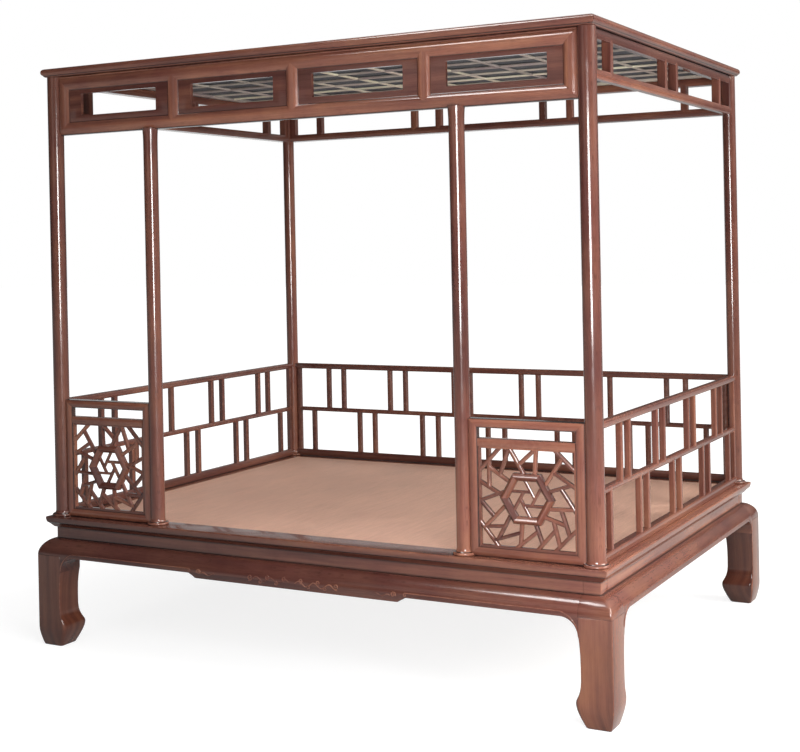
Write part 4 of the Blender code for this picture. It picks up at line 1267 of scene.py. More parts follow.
@dataclass
class Seat:
    """Seat rails, woven mat and the braces under it."""

    rail_width: float = 0.115
    ledge: float = 0.014
    ledge_top: float = 0.4891
    mat_top: float = 0.4994
    mat_thick: float = 0.010
    mat_sag: float = 0.0016
    brace_x: float = 0.360
    brace_width: float = 0.045
    brace_height: float = 0.022
    brace_sag: float = 0.012
    brace_drop: float = 0.0008  # of a brace's ends under the ledge
    brace_round: float = 0.003
    edge: tuple[Pair, ...] = (  # a rail's moulding: distance out from its edge, height
        (-0.0050, 0.5000), (-0.0028, 0.4997), (-0.0011, 0.4988), (-0.0002, 0.4972), (0.0000, 0.4950),
        (-0.0004, 0.4900), (-0.0014, 0.4850), (-0.0030, 0.4802), (-0.0054, 0.4764), (-0.0072, 0.4758),
        (-0.0100, 0.4730), (-0.0140, 0.4690), (-0.0175, 0.4650), (-0.0204, 0.4614), (-0.0232, 0.4586),
        (-0.0262, 0.4570),
    )
    ease: float = 0.001  # of the rebate's upper edge
    quirk: Pair = (0.4755, 0.4766)  # heights of the moulding's quirk, where shade and old polish are painted

    def section(self) -> Section:
        """Moulded section of a rail.

        Returns:
            Points (distance out from its edge, height).
        """
        back, lip = -self.rail_width, self.ledge - self.rail_width
        return [*self.edge, (back, BED.seat_bottom), (back, self.ledge_top), (lip, self.ledge_top),
                (lip, BED.seat_top - self.ease), (lip + self.ease, BED.seat_top)]

    @staticmethod
    def tones(side: Side) -> Pair:
        """Tones of a side's rail at its left and right end: painted shade darkening the front towards its left end,
        painted light on the right side.
        """
        return {Side.FRONT: (0.0, 0.70), Side.RIGHT: (1.0, 1.0)}.get(side, (0.70, 0.70))

    def dirty(self, spot: Vector) -> bool:
        """Says whether a point of a rail lies in its quirk or along its lower edge, where shade and old polish are
        painted.
        """
        return self.quirk[0] < spot.z < self.quirk[1] or spot.z < BED.seat_bottom + TOUCH

    def mat(self) -> None:
        """The mat: a cane sheet stretched in the rails, low by a hair in the middle."""
        half_x = BED.seat_x - self.rail_width + self.ledge - SEAM
        half_y = BED.seat_y - self.rail_width + self.ledge - SEAM
        bm = bmesh.new()
        bmesh.ops.create_grid(bm, x_segments=42, y_segments=32, size=1.0,
                              matrix=Matrix.Diagonal((half_x, half_y, 1.0, 1.0)))
        pulled(bm, bm.faces[:], UP * -self.mat_thick)
        for vert in bm.verts:
            dip = (1 - (vert.co.x / half_x) ** 2) * (1 - (vert.co.y / half_y) ** 2)
            vert.co.z += self.mat_top - self.mat_sag * dip
        mesh = written(bm, "woven_cane_mat")
        piece = place(mesh.name, mesh, Cane().material(), Slot.CANE, ["woven_mat"])

    def brace(self, name: str, x: float) -> None:
        """A bent brace under the mat.

        Args:
            name: The solid's name.
            x: Its place along the front.
        """
        stock = Stock(name)
        end = BED.seat_y - self.rail_width
        level = self.ledge_top - self.brace_drop - self.brace_height / 2
        section = rounded(self.brace_height, self.brace_width, self.brace_round, 3)
        faces = stock.bar(section, Vector((x, -end, level)), Vector((x, end, level)), ALONG, cuts=18)
        for vert in {corner for face in faces for corner in face.verts}:
            vert.co.z -= self.brace_sag * (1 - (vert.co.y / end) ** 2)
        wooden(name + "_bent", stock.mesh(), name)

    def build(self) -> None:
        """Builds the seat."""
        for side in Side:
            along, out = side.reach(BED.seat_x, BED.seat_y)
            mitred_rail("seat_rail_" + side.label(), side, self.section(), along, out, self.tones(side), self.dirty)
        self.mat()
        self.brace("mat_brace_left", -self.brace_x)
        self.brace("mat_brace_right", self.brace_x)


@dataclass
class Posts:
    """Six turned posts with moulded feet."""

    facets: int = 56
    head_height: float = 0.060
    head_flare: float = 0.004
    head_curve: float = 0.98  # share of a quarter round that the flare takes
    head_steps: int = 8
    fade_top: float = 1.15  # height where the lighter tone painted towards a foot ends
    rim: tuple[Pair, ...] = (  # a foot's moulding: out from the shaft, above the seat
        (0.0100, 0.0004), (0.0122, 0.0014), (0.0134, 0.0034), (0.0136, 0.0056), (0.0128, 0.0078), (0.0108, 0.0094),
        (0.0080, 0.0102), (0.0060, 0.0104), (0.0050, 0.0112), (0.0028, 0.0134), (0.0013, 0.0164), (0.0004, 0.0204),
        (0.0, 0.0260),
    )
    rub_top: float = 0.010  # height of a foot's rubbed bead
    quirk: Pair = (0.0100, 0.0114)  # heights of the quirk above it, where shade and old polish are painted
    base_line: float = 0.0006  # height of the dark line of painted shade and old polish round a foot

    def foot(self, radius: float) -> list[Pair]:
        """Outline of the lower end as (radius, height), going up.

        Args:
            radius: The shaft's radius.

        Returns:
            Points from the axis, round the rim and up the hollow to the shaft.
        """
        return [(0.0, BED.seat_top + SEAM)] + [(radius + dr, BED.seat_top + dz) for dr, dz in self.rim]

    def turned(self, stock: Stock, outline: Sequence[Pair], x: float, y: float) -> None:
        """Turns an outline about a post's axis.

        Args:
            stock: The piece.
            outline: Points as (radius, height), going up.
            x: The axis along the front.
            y: The axis front to back.
        """
        spun(stock.bm, [Vector((x + radius, y, z)) for radius, z in outline], Vector((x, y, 0.0)), UP, self.facets)

    def grain(self, stock: Stock, tones: Pair) -> None:
        """Lays a post's grain along its axis, paints light and shade into its tone, and paints shade with old polish
        into its quirks.

        Args:
            stock: The post.
            tones: Its tone at the foot and from the fade's top on.
        """
        foot, low, high = BED.seat_top, *tones
        worn = [item for item in stock.bm.faces if item.calc_center_median().z < foot + self.rub_top]
        stock.board(stock.bm.faces, UP, OUT, worn)
        reach = self.fade_top - foot
        stock.weather(lambda spot: low + (high - low) * min((spot.z - foot) / reach, 1.0))
        stock.soil(lambda spot: self.quirk[0] < spot.z - foot < self.quirk[1] or spot.z < foot + self.base_line)

    def corner(self, row: str, side: str, x: float, y: float, radius: float, tones: Pair) -> None:
        """A corner post, round up to the cornice.

        Args:
            row: front or back.
            side: left or right.
            x: The axis along the front.
            y: The axis front to back.
            radius: The shaft's radius.
            tones: Its tone at the foot and higher up.
        """
        node = f"post_{row}_{side}"
        stock = Stock(node)
        top = BED.cornice_bottom - SEAM
        self.turned(stock, self.foot(radius) + [(radius, self.fade_top), (radius, top), (0.0, top)], x, y)
        self.grain(stock, tones)
        wooden(node + "_turned", stock.mesh(), node)

    def inner(self, side: str, x: float, tones: Pair) -> None:
        """An inner front post, flared under the frieze.

        Args:
            side: left or right.
            x: The axis along the front.
            tones: Its tone at the foot and higher up.
        """
        node = "post_inner_" + side
        stock = Stock(node)
        radius, top = BED.inner_radius, BED.front_frieze_bottom + LAP
        outline = self.foot(radius) + [(radius, self.fade_top)]
        for step in range(self.head_steps + 1):
            share = step / self.head_steps
            outline.append((radius + self.head_flare * (1 - math.sqrt(1 - share ** 2 * self.head_curve)),
                            top - self.head_height * (1 - share)))
        self.turned(stock, outline + [(0.0, top)], x, -BED.post_y)
        self.grain(stock, tones)
        wooden(node + "_turned", stock.mesh(), node)

    def build(self) -> None:
        """Builds the posts."""
        # tones at the foot and higher up, set post by post to paint how light falls on each: lighter towards the
        # foot
        tones = (("left", -1, (0.40, 0.24), (0.70, 0.40), (1.00, 0.80)),
                 ("right", 1, (0.85, 0.04), (1.35, 0.16), (0.30, 0.30)))
        for side, sx, front, inner, back in tones:
            self.corner("front", side, sx * BED.post_x, -BED.post_y, BED.front_radius, front)
            self.corner("back", side, sx * BED.post_x, BED.post_y, BED.back_radius, back)
            self.inner(side, sx * BED.inner_x, inner)


@dataclass
class Railing:
    """One open railing between two corner posts."""

    side: Side
    half: float  # post centre to the railing's middle
    out: float  # distance from the bed's middle
    radii: Pair  # of the posts at its left and right end
    bays: int
    tone: float
    bar: float = 0.025
    depth: float = 0.024
    rail_depth: float = 0.030
    top: float = 0.026
    middle: float = 0.022
    bottom: float = 0.034
    pair: float = 0.084
    crown: float = 0.0050
    top_round: float = 0.0085
    bottom_crown: float = 0.004
    bottom_ease: float = 0.003

    def faces(self) -> Pair:
        """Inner faces of the two stiles."""
        return self.radii[0] + self.bar - self.half, self.half - self.radii[1] - self.bar

    def struts(self) -> tuple[list[float], list[float]]:
        """Centres of the struts in the upper and the lower row.

        Returns:
            The two lists: pairs, set half a bay apart.
        """
        left, right = self.faces()
        first, last = left - self.bar / 2 + self.pair / 2, right + self.bar / 2 - self.pair / 2
        pitch, half = (last - first) / self.bays, self.pair / 2
        upper = [first + pitch * (i + 0.5) + side for i in range(self.bays) for side in (-half, half)]
        lower = [first + pitch * i + side for i in range(self.bays + 1) for side in (-half, half)]
        return upper, lower[1:-1]

    def node(self, part: str) -> str:
        """Name of one of its solids."""
        return f"railing_{self.side.label()}_{part}"

    def level(self, part: str, section: Section, z: float, short: Pair) -> None:
        """A rail from post to post.

        Args:
            part: Which rail.
            section: Its section.
            z: Height of its middle.
            short: How far its ends stay from the post centres.
        """
        stock = Stock(self.node(part), self.tone)
        stock.lay(section, self.out, z, short[0] - self.half, self.half - short[1])
        wooden(stock.name + "_rail", stock.mesh(), stock.name, turn=self.side.turn())

    def upright(self, stock: Stock, u: float, low: float, high: float) -> None:
        """A stile or strut.

        Args:
            stock: The piece that gets it.
            u: Its place along the railing.
            low: Its foot.
            high: Its head.
        """
        stock.stand(crowned(self.bar, self.depth, self.crown), self.out, u, low, high)

    def build(self) -> None:
        """Builds the railing."""
        foot, head = BED.seat_top + self.bottom, BED.railing_top - self.top
        short = (self.radii[0] - LAP, self.radii[1] - LAP)
        top_section = rounded(self.top, self.rail_depth, self.top_round, 6)
        self.level("top", top_section, BED.railing_top - self.top / 2, short)
        low_section = crowned(self.bottom, self.rail_depth, self.bottom_crown, self.bottom_ease)
        self.level("bottom", low_section, BED.seat_top + self.bottom / 2 + SEAM, short)
        left, right = self.faces()
        ends = [("a", left - self.bar / 2), ("b", right + self.bar / 2)]
        if self.side in (Side.BACK, Side.LEFT):
            ends = [("b", ends[0][1]), ("a", ends[1][1])]
        for label, u in ends:
            stock = Stock(self.node("stile_" + label), self.tone)
            self.upright(stock, u, foot - LAP, head + LAP)
            wooden(stock.name + "_moulded", stock.mesh(), stock.name, turn=self.side.turn())
        z = (foot + head) / 2
        rail = Stock(self.node("lattice"), self.tone)
        rail.lay(crowned(self.middle, self.depth, self.crown), self.out, z, left - LAP, right + LAP)
        struts = Stock(self.node("lattice") + "_struts", self.tone)
        upper, lower = self.struts()
        for u in upper:
            self.upright(struts, u, z, head + LAP)
        for u in lower:
            self.upright(struts, u, foot - LAP, z)
        mesh = fused(rail.mesh(), struts.mesh(), "UNION")
        wooden(self.node("lattice") + "_moulded", mesh, self.node("lattice"), turn=self.side.turn())


ICE_BARS = (
    ((-1.03, 0.32), (-0.45, 0.00)), ((-0.79, 0.59), (-0.30, 0.275)), ((-0.79, 0.74), (-0.79, 0.17)),
    ((-0.52, 1.03), (-1.03, 0.47)), ((-0.355, 1.03), (-0.565, 0.44)), ((-0.355, 0.98), (-0.02, 0.40)),
    ((0.22, 1.03), (-0.19, 0.65)), ((0.195, 1.03), (0.15, 0.40)), ((0.53, 1.03), (1.03, 0.55)),
    ((0.73, 0.85), (0.36, 0.28)), ((0.53, 0.56), (1.03, 0.245)), ((0.40, 0.153), (0.91, 0.327)),
    ((0.686, 0.24), (1.03, -0.27)), ((0.42, -0.173), (0.95, -0.146)), ((0.68, -0.16), (0.85, -0.69)),
    ((0.30, -0.318), (0.77, -0.465)), ((0.52, -0.385), (0.645, -0.885)), ((1.03, -0.497), (0.51, -1.03)),
    ((0.12, -0.36), (0.297, -0.873)), ((0.58, -0.555), (0.16, -1.03)), ((0.22, -0.615), (-0.29, -1.03)),
    ((-0.11, -0.36), (-0.154, -0.925)), ((-0.12, -0.668), (-0.71, -0.871)), ((-0.28, -0.21), (-0.615, -0.835)),
    ((-0.40, -0.098), (-0.905, -0.626)), ((-0.47, -0.572), (-0.88, -0.603)), ((-1.03, -0.457), (-0.575, -1.03)),
    ((-0.97, -0.095), (-0.69, -0.395)), ((-1.03, -0.108), (-0.45, 0.128)),
)  # ends as shares of the field's half width and half height


@dataclass
class Panel:
    """A front panel: moulded frame, cracked-ice bars and a hexagon with a pinwheel."""

    label: str
    sign: int
    depth: float = 0.030
    stile: float = 0.032
    top: float = 0.032
    slot: float = 0.033
    second: float = 0.028
    bottom: float = 0.034
    crown: float = 0.0060
    frame_tone: float = 1.0
    second_tone: float = 0.85
    tenon: float = 0.001  # of the second rail's ends in the stiles
    quirk: float = 0.65  # share of the crown that lies above the painted dark line of shade and old polish round the frame
    steps: int = 10  # flats across a bar of the frame
    ice_depth: float = 0.016
    ice_bar: float = 0.0132
    ice_crown: float = 0.0034
    ice_ease: float = 0.0012
    ice_steps: int = 6
    rim: float = 0.006
    rim_round: float = 0.0015
    hexagon: float = 0.096
    wall: float = 0.0290
    ridge: float = 0.47  # share of the wall from its outer edge to its ridge
    wheel: float = 0.026
    wheel_bar: float = 0.0108
    wheel_depth: float = 0.012
    wheel_crown: float = 0.0024
    wheel_ease: float = 0.0011
    wheel_reach: float = 0.008  # of the pinwheel's bars into the wall
    side_angle: float = 25.0  # half the angle in which a face belongs to a side of the hexagon

    def field(self) -> tuple[float, float, float, float]:
        """The open field.

        Returns:
            Its left, low, right and high edge.
        """
        a = self.sign * (BED.inner_x + BED.inner_radius + self.stile)
        b = self.sign * (BED.post_x - BED.front_radius - self.stile)
        high = BED.railing_top - self.top - self.slot - self.second
        return min(a, b), BED.seat_top + self.bottom, max(a, b), high

    def frame(self) -> None:
        """The frame: crowned stiles and rails with mitred corners, and a second rail under the open strip."""
        u0, v0, u1, v1 = self.field()
        node = f"panel_{self.label}_frame"
        bars, second = Stock(node, self.frame_tone), Stock(node + "_second", self.second_tone)
        wide, low, high = self.stile + LAP, BED.seat_top + SEAM, BED.railing_top
        outer, inner = (u0 - wide, low, u1 + wide, high), (u0, v0, u1, high - self.top)
        mitred_frame(bars, outer, inner, BED.post_y, self.section)
        section = crowned(self.second, self.depth - self.crown, self.crown / 2, steps=self.steps)
        second.lay(section, BED.post_y, v1 + self.second / 2, u0 - self.tenon, u1 + self.tenon)
        # painted shade, with old polish, on the sides and back of the frame's bars
        reach = self.depth / 2 - self.quirk * self.crown
        bars.soil(lambda spot: abs(spot.y + BED.post_y) < reach)
        wooden(node + "_moulded", fused(bars.mesh(), second.mesh(), "UNION"), node)

    def section(self, width: float) -> Section:
        """Section of a bar of the frame."""
        return crowned(width, self.depth, self.crown, steps=self.steps)

    def ice(self) -> None:
        """The bars between the rim and the hexagon."""
        u0, v0, u1, v1 = self.field()
        u, v = (u0 + u1) / 2, (v0 + v1) / 2
        half_u, half_v = (u1 - u0) / 2, (v1 - v0) / 2
        node = f"panel_{self.label}_ice"
        bars, rim, limit, room = (Stock(node + part) for part in ("", "_rim", "_limit", "_room"))
        section = crowned(self.ice_bar, self.ice_depth, self.ice_crown, self.ice_ease, self.ice_steps)
        for ends in ICE_BARS:
            start, end = (at_front(u + self.sign * a * half_u, BED.post_y, v + b * half_v) for a, b in ends)
            bars.bar(section, start, end, OUT)
        edge = rounded(self.rim + LAP, self.ice_depth, self.rim_round, 2)
        rim_u, rim_v = half_u - self.rim / 2 + LAP / 2, half_v - self.rim / 2 + LAP / 2
        for sign in (-1, 1):
            rim.stand(edge, BED.post_y, u + sign * rim_u, v0 - LAP, v1 + LAP)
        for sign in (-1, 1):
            rim.lay(edge, BED.post_y, v + sign * rim_v, u0 - LAP, u1 + LAP)
        mesh = fused(bars.mesh(), rim.mesh(), "UNION", crossing=True)
        limit.lay(rounded(2 * (half_v + LAP), CUT_DEPTH, 0.001, 1), BED.post_y, v, u0 - LAP, u1 + LAP)
        mesh = fused(mesh, limit.mesh(), "INTERSECT")
        room.bar(self.hexagon_loop(self.hexagon - self.wall / 2), at_front(u, BED.post_y + CUT_DEPTH, v),
                 at_front(u, BED.post_y - CUT_DEPTH, v), UP)
        wooden(node + "_bars", fused(mesh, room.mesh(), "DIFFERENCE"), node)

    @staticmethod
    def hexagon_loop(radius: float) -> Section:
        """Corners of a hexagon with points to the left and right."""
        angles = [math.radians(60 * k) for k in range(6)]
        return [(radius * math.cos(angle), radius * math.sin(angle)) for angle in angles]

    def ring(self) -> None:
        """The hexagon, turned in six steps from a beaded section, and its pinwheel."""
        u0, v0, u1, v1 = self.field()
        centre = at_front((u0 + u1) / 2, BED.post_y, (v0 + v1) / 2)
        node = f"panel_{self.label}_hexagon"
        stock = Stock(node)
        outer, inner = self.hexagon, self.hexagon - self.wall
        ridge = outer - self.ridge * self.wall
        half = [(outer, 0.0085), (outer - 0.0008, 0.0102), (ridge + 0.0032, 0.0192), (ridge + 0.0012, 0.0204),
                (ridge - 0.0012, 0.0204), (ridge - 0.0032, 0.0192), (inner + 0.0010, 0.0080), (inner, 0.0062)]
        loop = half + [(r, -y) for r, y in reversed(half)]
        spun(stock.bm, [centre + Vector((r, -y, 0.0)) for r, y in loop], centre, OUT, 6, closed=True)
        least = math.cos(math.radians(self.side_angle))
        for k in range(6):
            middle = math.radians(60 * k + 30)
            out = Vector((math.cos(middle), 0.0, math.sin(middle)))
            wedge = [item for item in stock.bm.faces
                     if (item.calc_center_median() - centre).normalized().dot(out) > least]
            stock.board(wedge, out.cross(OUT), OUT)
        spokes = Stock(node + "_pinwheel")
        section = crowned(self.wheel_bar, self.wheel_depth, self.wheel_crown, self.wheel_ease, self.ice_steps)
        corners = self.hexagon_loop(self.wheel)
        stretch = (inner + self.wheel_reach) / self.wheel
        for k in range(6):
            (a, b), (c, d) = corners[k], corners[(k + self.sign) % 6]
            start, end = Vector((a, 0.0, b)), Vector((a + (c - a) * stretch, 0.0, b + (d - b) * stretch))
            spokes.bar(section, centre + start, centre + end, OUT)
        wooden(node + "_pinwheel", fused(stock.mesh(), spokes.mesh(), "UNION", crossing=True), node)

    def build(self) -> None:
        """Builds the panel."""
        self.frame()
        self.ice()
        self.ring()


@dataclass
class Friezes:
    """The framed front frieze and the open ones round the sides and back."""

    depth: float = 0.036
    top: float = 0.056
    foot: float = 0.051
    end: float = 0.050
    muntin: float = 0.055
    insets: int = 4
    crown: float = 0.0135
    ease: float = 0.002
    steps: int = 14  # flats across a bar of the front frame
    flush: float = 0.0006  # how much thinner a cross piece is than the bars it runs into
    quirk: float = 0.72  # share of the crown that lies above the painted dark line of shade and old polish round the frame
    frame_tone: float = 0.90
    muntin_tone: float = 1.0
    # darker tone of the recessed boards, which paints the shade of the recess
    inset_tone: float = 0.22
    inset_thick: float = 0.014
    inset_recess: float = 0.012
    inset_round: float = 0.0012
    window_side: float = 0.054
    window_head: float = 0.0155
    window_foot: float = 0.0215
    window_round: float = 0.003
    bead_tone: float = 0.7
    bead_width: float = 0.0038
    bead_proud: float = 0.0022
    bead_lap: float = 0.0012  # of a bead's outer edge on the board
    bead_round: float = 0.004
    bead_sunk: float = 0.001  # how far its back lies inside the board
    bead_ease: float = 0.0014
    strip_radius: float = 0.0040
    open_crown: float = 0.0035
    open_ease: float = 0.0025
    rail: float = 0.034
    stile: float = 0.026
    strut: float = 0.032
    pair: float = 0.130
    first: float = 0.190

    def bays(self) -> list[Pair]:
        """Bays of the front frieze.

        Returns:
            Their left and right edges.
        """
        start = -(BED.post_x - BED.front_radius - self.end)
        bay = (-2 * start - (self.insets - 1) * self.muntin) / self.insets
        lefts = [start + i * (bay + self.muntin) for i in range(self.insets)]
        return [(left, left + bay) for left in lefts]

    def section(self, width: float, thinner: float = 0.0) -> Section:
        """Section of the front frame's bars."""
        return crowned(width, self.depth - thinner, self.crown, self.ease, self.steps, back=False)

    def open_section(self, width: float, thinner: float = 0.0) -> Section:
        """Section of an open frieze's bars."""
        return crowned(width, self.depth - thinner, self.open_crown, self.open_ease)

    def front(self) -> None:
        """The front frame: mitred, crowned bars with muntins running into the rails."""
        node = "frieze_front_frame"
        half = BED.post_x - BED.front_radius + SCRIBE
        low, high = BED.front_frieze_bottom, BED.cornice_bottom - SEAM
        bars, muntins = Stock(node, self.frame_tone), Stock(node + "_muntins", self.muntin_tone)
        spans = self.bays()
        opening = (spans[0][0], low + self.foot, spans[-1][1], high - self.top)
        mitred_frame(bars, (-half, low, half, high), opening, BED.post_y, self.section)
        for before, after in zip(spans, spans[1:]):
            muntins.stand(self.section(self.muntin, self.flush), BED.post_y, (before[1] + after[0]) / 2,
                          low + self.foot / 2, high - self.top / 2)
        # painted shade, with old polish, on the sides and back of the frame's bars and muntins
        line = BED.post_y + self.depth / 2 - self.quirk * self.crown
        for stock in (bars, muntins):
            stock.soil(lambda spot: -spot.y < line)
        wooden(node + "_moulded", fused(bars.mesh(), muntins.mesh(), "UNION"), node)
        self.strip(half, high)
        for number, span in enumerate(spans, start=1):
            self.inset(number, span, low + self.foot, high - self.top)

    def strip(self, half: float, high: float) -> None:
        """A thin half-round strip in the corner between the front frieze and the cornice, coloured light to paint a
        highlight line.

        Args:
            half: Half the frieze's length.
            high: Its upper edge.
        """
        stock = Stock("frieze_front_strip", self.muntin_tone)
        out = BED.post_y + self.depth / 2 - self.crown + self.strip_radius / 2
        ends = [at_front(u, out, high - self.strip_radius) for u in (SCRIBE - half, half - SCRIBE)]
        # every face takes the lighter rubbed colour, which here paints a highlight line along the strip
        sweep(stock, ends, [self.strip_radius] * 2, UP, 12)
        wooden(stock.name, stock.mesh())

    def inset(self, number: int, span: Pair, low: float, high: float) -> None:
        """A recessed board with a beaded window.

        Args:
            number: Its place from the left.
            span: Its bay's left and right edge.
            low: The bay's lower edge.
            high: The bay's upper edge.
        """
        node = f"frieze_inset_{number}"
        out = BED.post_y + self.depth / 2 - self.inset_recess - self.inset_thick / 2
        (u0, u1), z = span, (low + high) / 2
        board, hole = Stock(node, self.inset_tone), Stock(node + "_hole", self.inset_tone)
        section = rounded(high - low + 2 * LAP, self.inset_thick, self.inset_round, 2)
        board.lay(section, out, z, u0 - LAP, u1 + LAP)
        width, height = u1 - u0 - 2 * self.window_side, high - low - self.window_head - self.window_foot
        centre = at_front((u0 + u1) / 2, out, low + self.window_foot + height / 2)
        through = OUT * (CUT_DEPTH / 2)
        hole.bar(rounded(width, height, self.window_round), centre - through, centre + through, UP)
        mesh = fused(board.mesh(), hole.mesh(), "DIFFERENCE")
        wooden(node + "_window", fused(mesh, self.bead(node, centre, width, height), "UNION"), node)

    def bead(self, node: str, centre: Vector, width: float, height: float) -> bpy.types.Mesh:
        """A raised bead round a window.

        Args:
            node: Name of the board.
            centre: The window's middle.
            width: The window's width.
            height: The window's height.

        Returns:
            A closed ring.
        """
        stock = Stock(node + "_bead", self.bead_tone)
        outline = rounded(width + 2 * self.bead_lap, height + 2 * self.bead_lap, self.bead_round)
        back = centre - OUT * (self.inset_thick / 2 - self.bead_sunk)
        middle = stock.bm.faces.new([stock.bm.verts.new(back + Vector((u, 0.0, v))) for u, v in outline])
        ring = bmesh.ops.inset_region(stock.bm, faces=[middle], thickness=self.bead_width,
                                      use_even_offset=True)["faces"]
        stock.bm.faces.remove(middle)
        front = pulled(stock.bm, ring, OUT * (self.inset_thick + self.bead_proud - self.bead_sunk))
        rims = [e for e in stock.bm.edges if all(v in front for v in e.verts) and e.calc_face_angle(0.0) > 1.0]
        eased(stock.bm, rims, self.bead_ease)
        stock.board(stock.bm.faces, ALONG, OUT, stock.bm.faces)
        return stock.mesh()

    def open(self, side: Side, half: float, out: float, radii: Pair, bays: int) -> None:
        """An open frieze of two rails, end stiles and struts.

        Args:
            side: Which side it is on.
            half: Post centre to the frieze's middle.
            out: Distance from the bed's middle.
            radii: Of the posts at its left and right end.
            bays: Wide bays.
        """
        node = "frieze_" + side.label()
        rails, posts = Stock(node), Stock(node + "_struts")
        left, right = radii[0] - SCRIBE - half, half - radii[1] + SCRIBE
        low, high = BED.open_frieze_bottom, BED.cornice_bottom - SEAM
        levels = (low + self.rail / 2, high - self.rail / 2)
        for z in levels:
            rails.lay(self.open_section(self.rail), out, z, left, right)
        first = self.first - half
        bay = (-2 * first - (bays - 1) * self.pair) / bays
        centres = [first, -first]
        for i in range(1, bays):
            start = first + i * bay + (i - 1) * self.pair
            centres += [start, start + self.pair]
        uprights = [(u, self.strut) for u in sorted(centres)]
        stile = self.stile + SCRIBE
        uprights += [(left + stile / 2, stile), (right - stile / 2, stile)]
        for u, width in uprights:
            posts.stand(self.open_section(width, self.flush), out, u, *levels)
        wooden(node + "_moulded", fused(rails.mesh(), posts.mesh(), "UNION"), node, turn=side.turn())

    def build(self) -> None:
        """Builds the friezes."""
        self.front()
        near, far = BED.front_radius, BED.back_radius
        self.open(Side.BACK, BED.post_x, BED.post_y, (far, far), 3)
        self.open(Side.RIGHT, BED.post_y, BED.post_x, (near, far), 2)
        self.open(Side.LEFT, BED.post_y, BED.post_x, (far, near), 2)


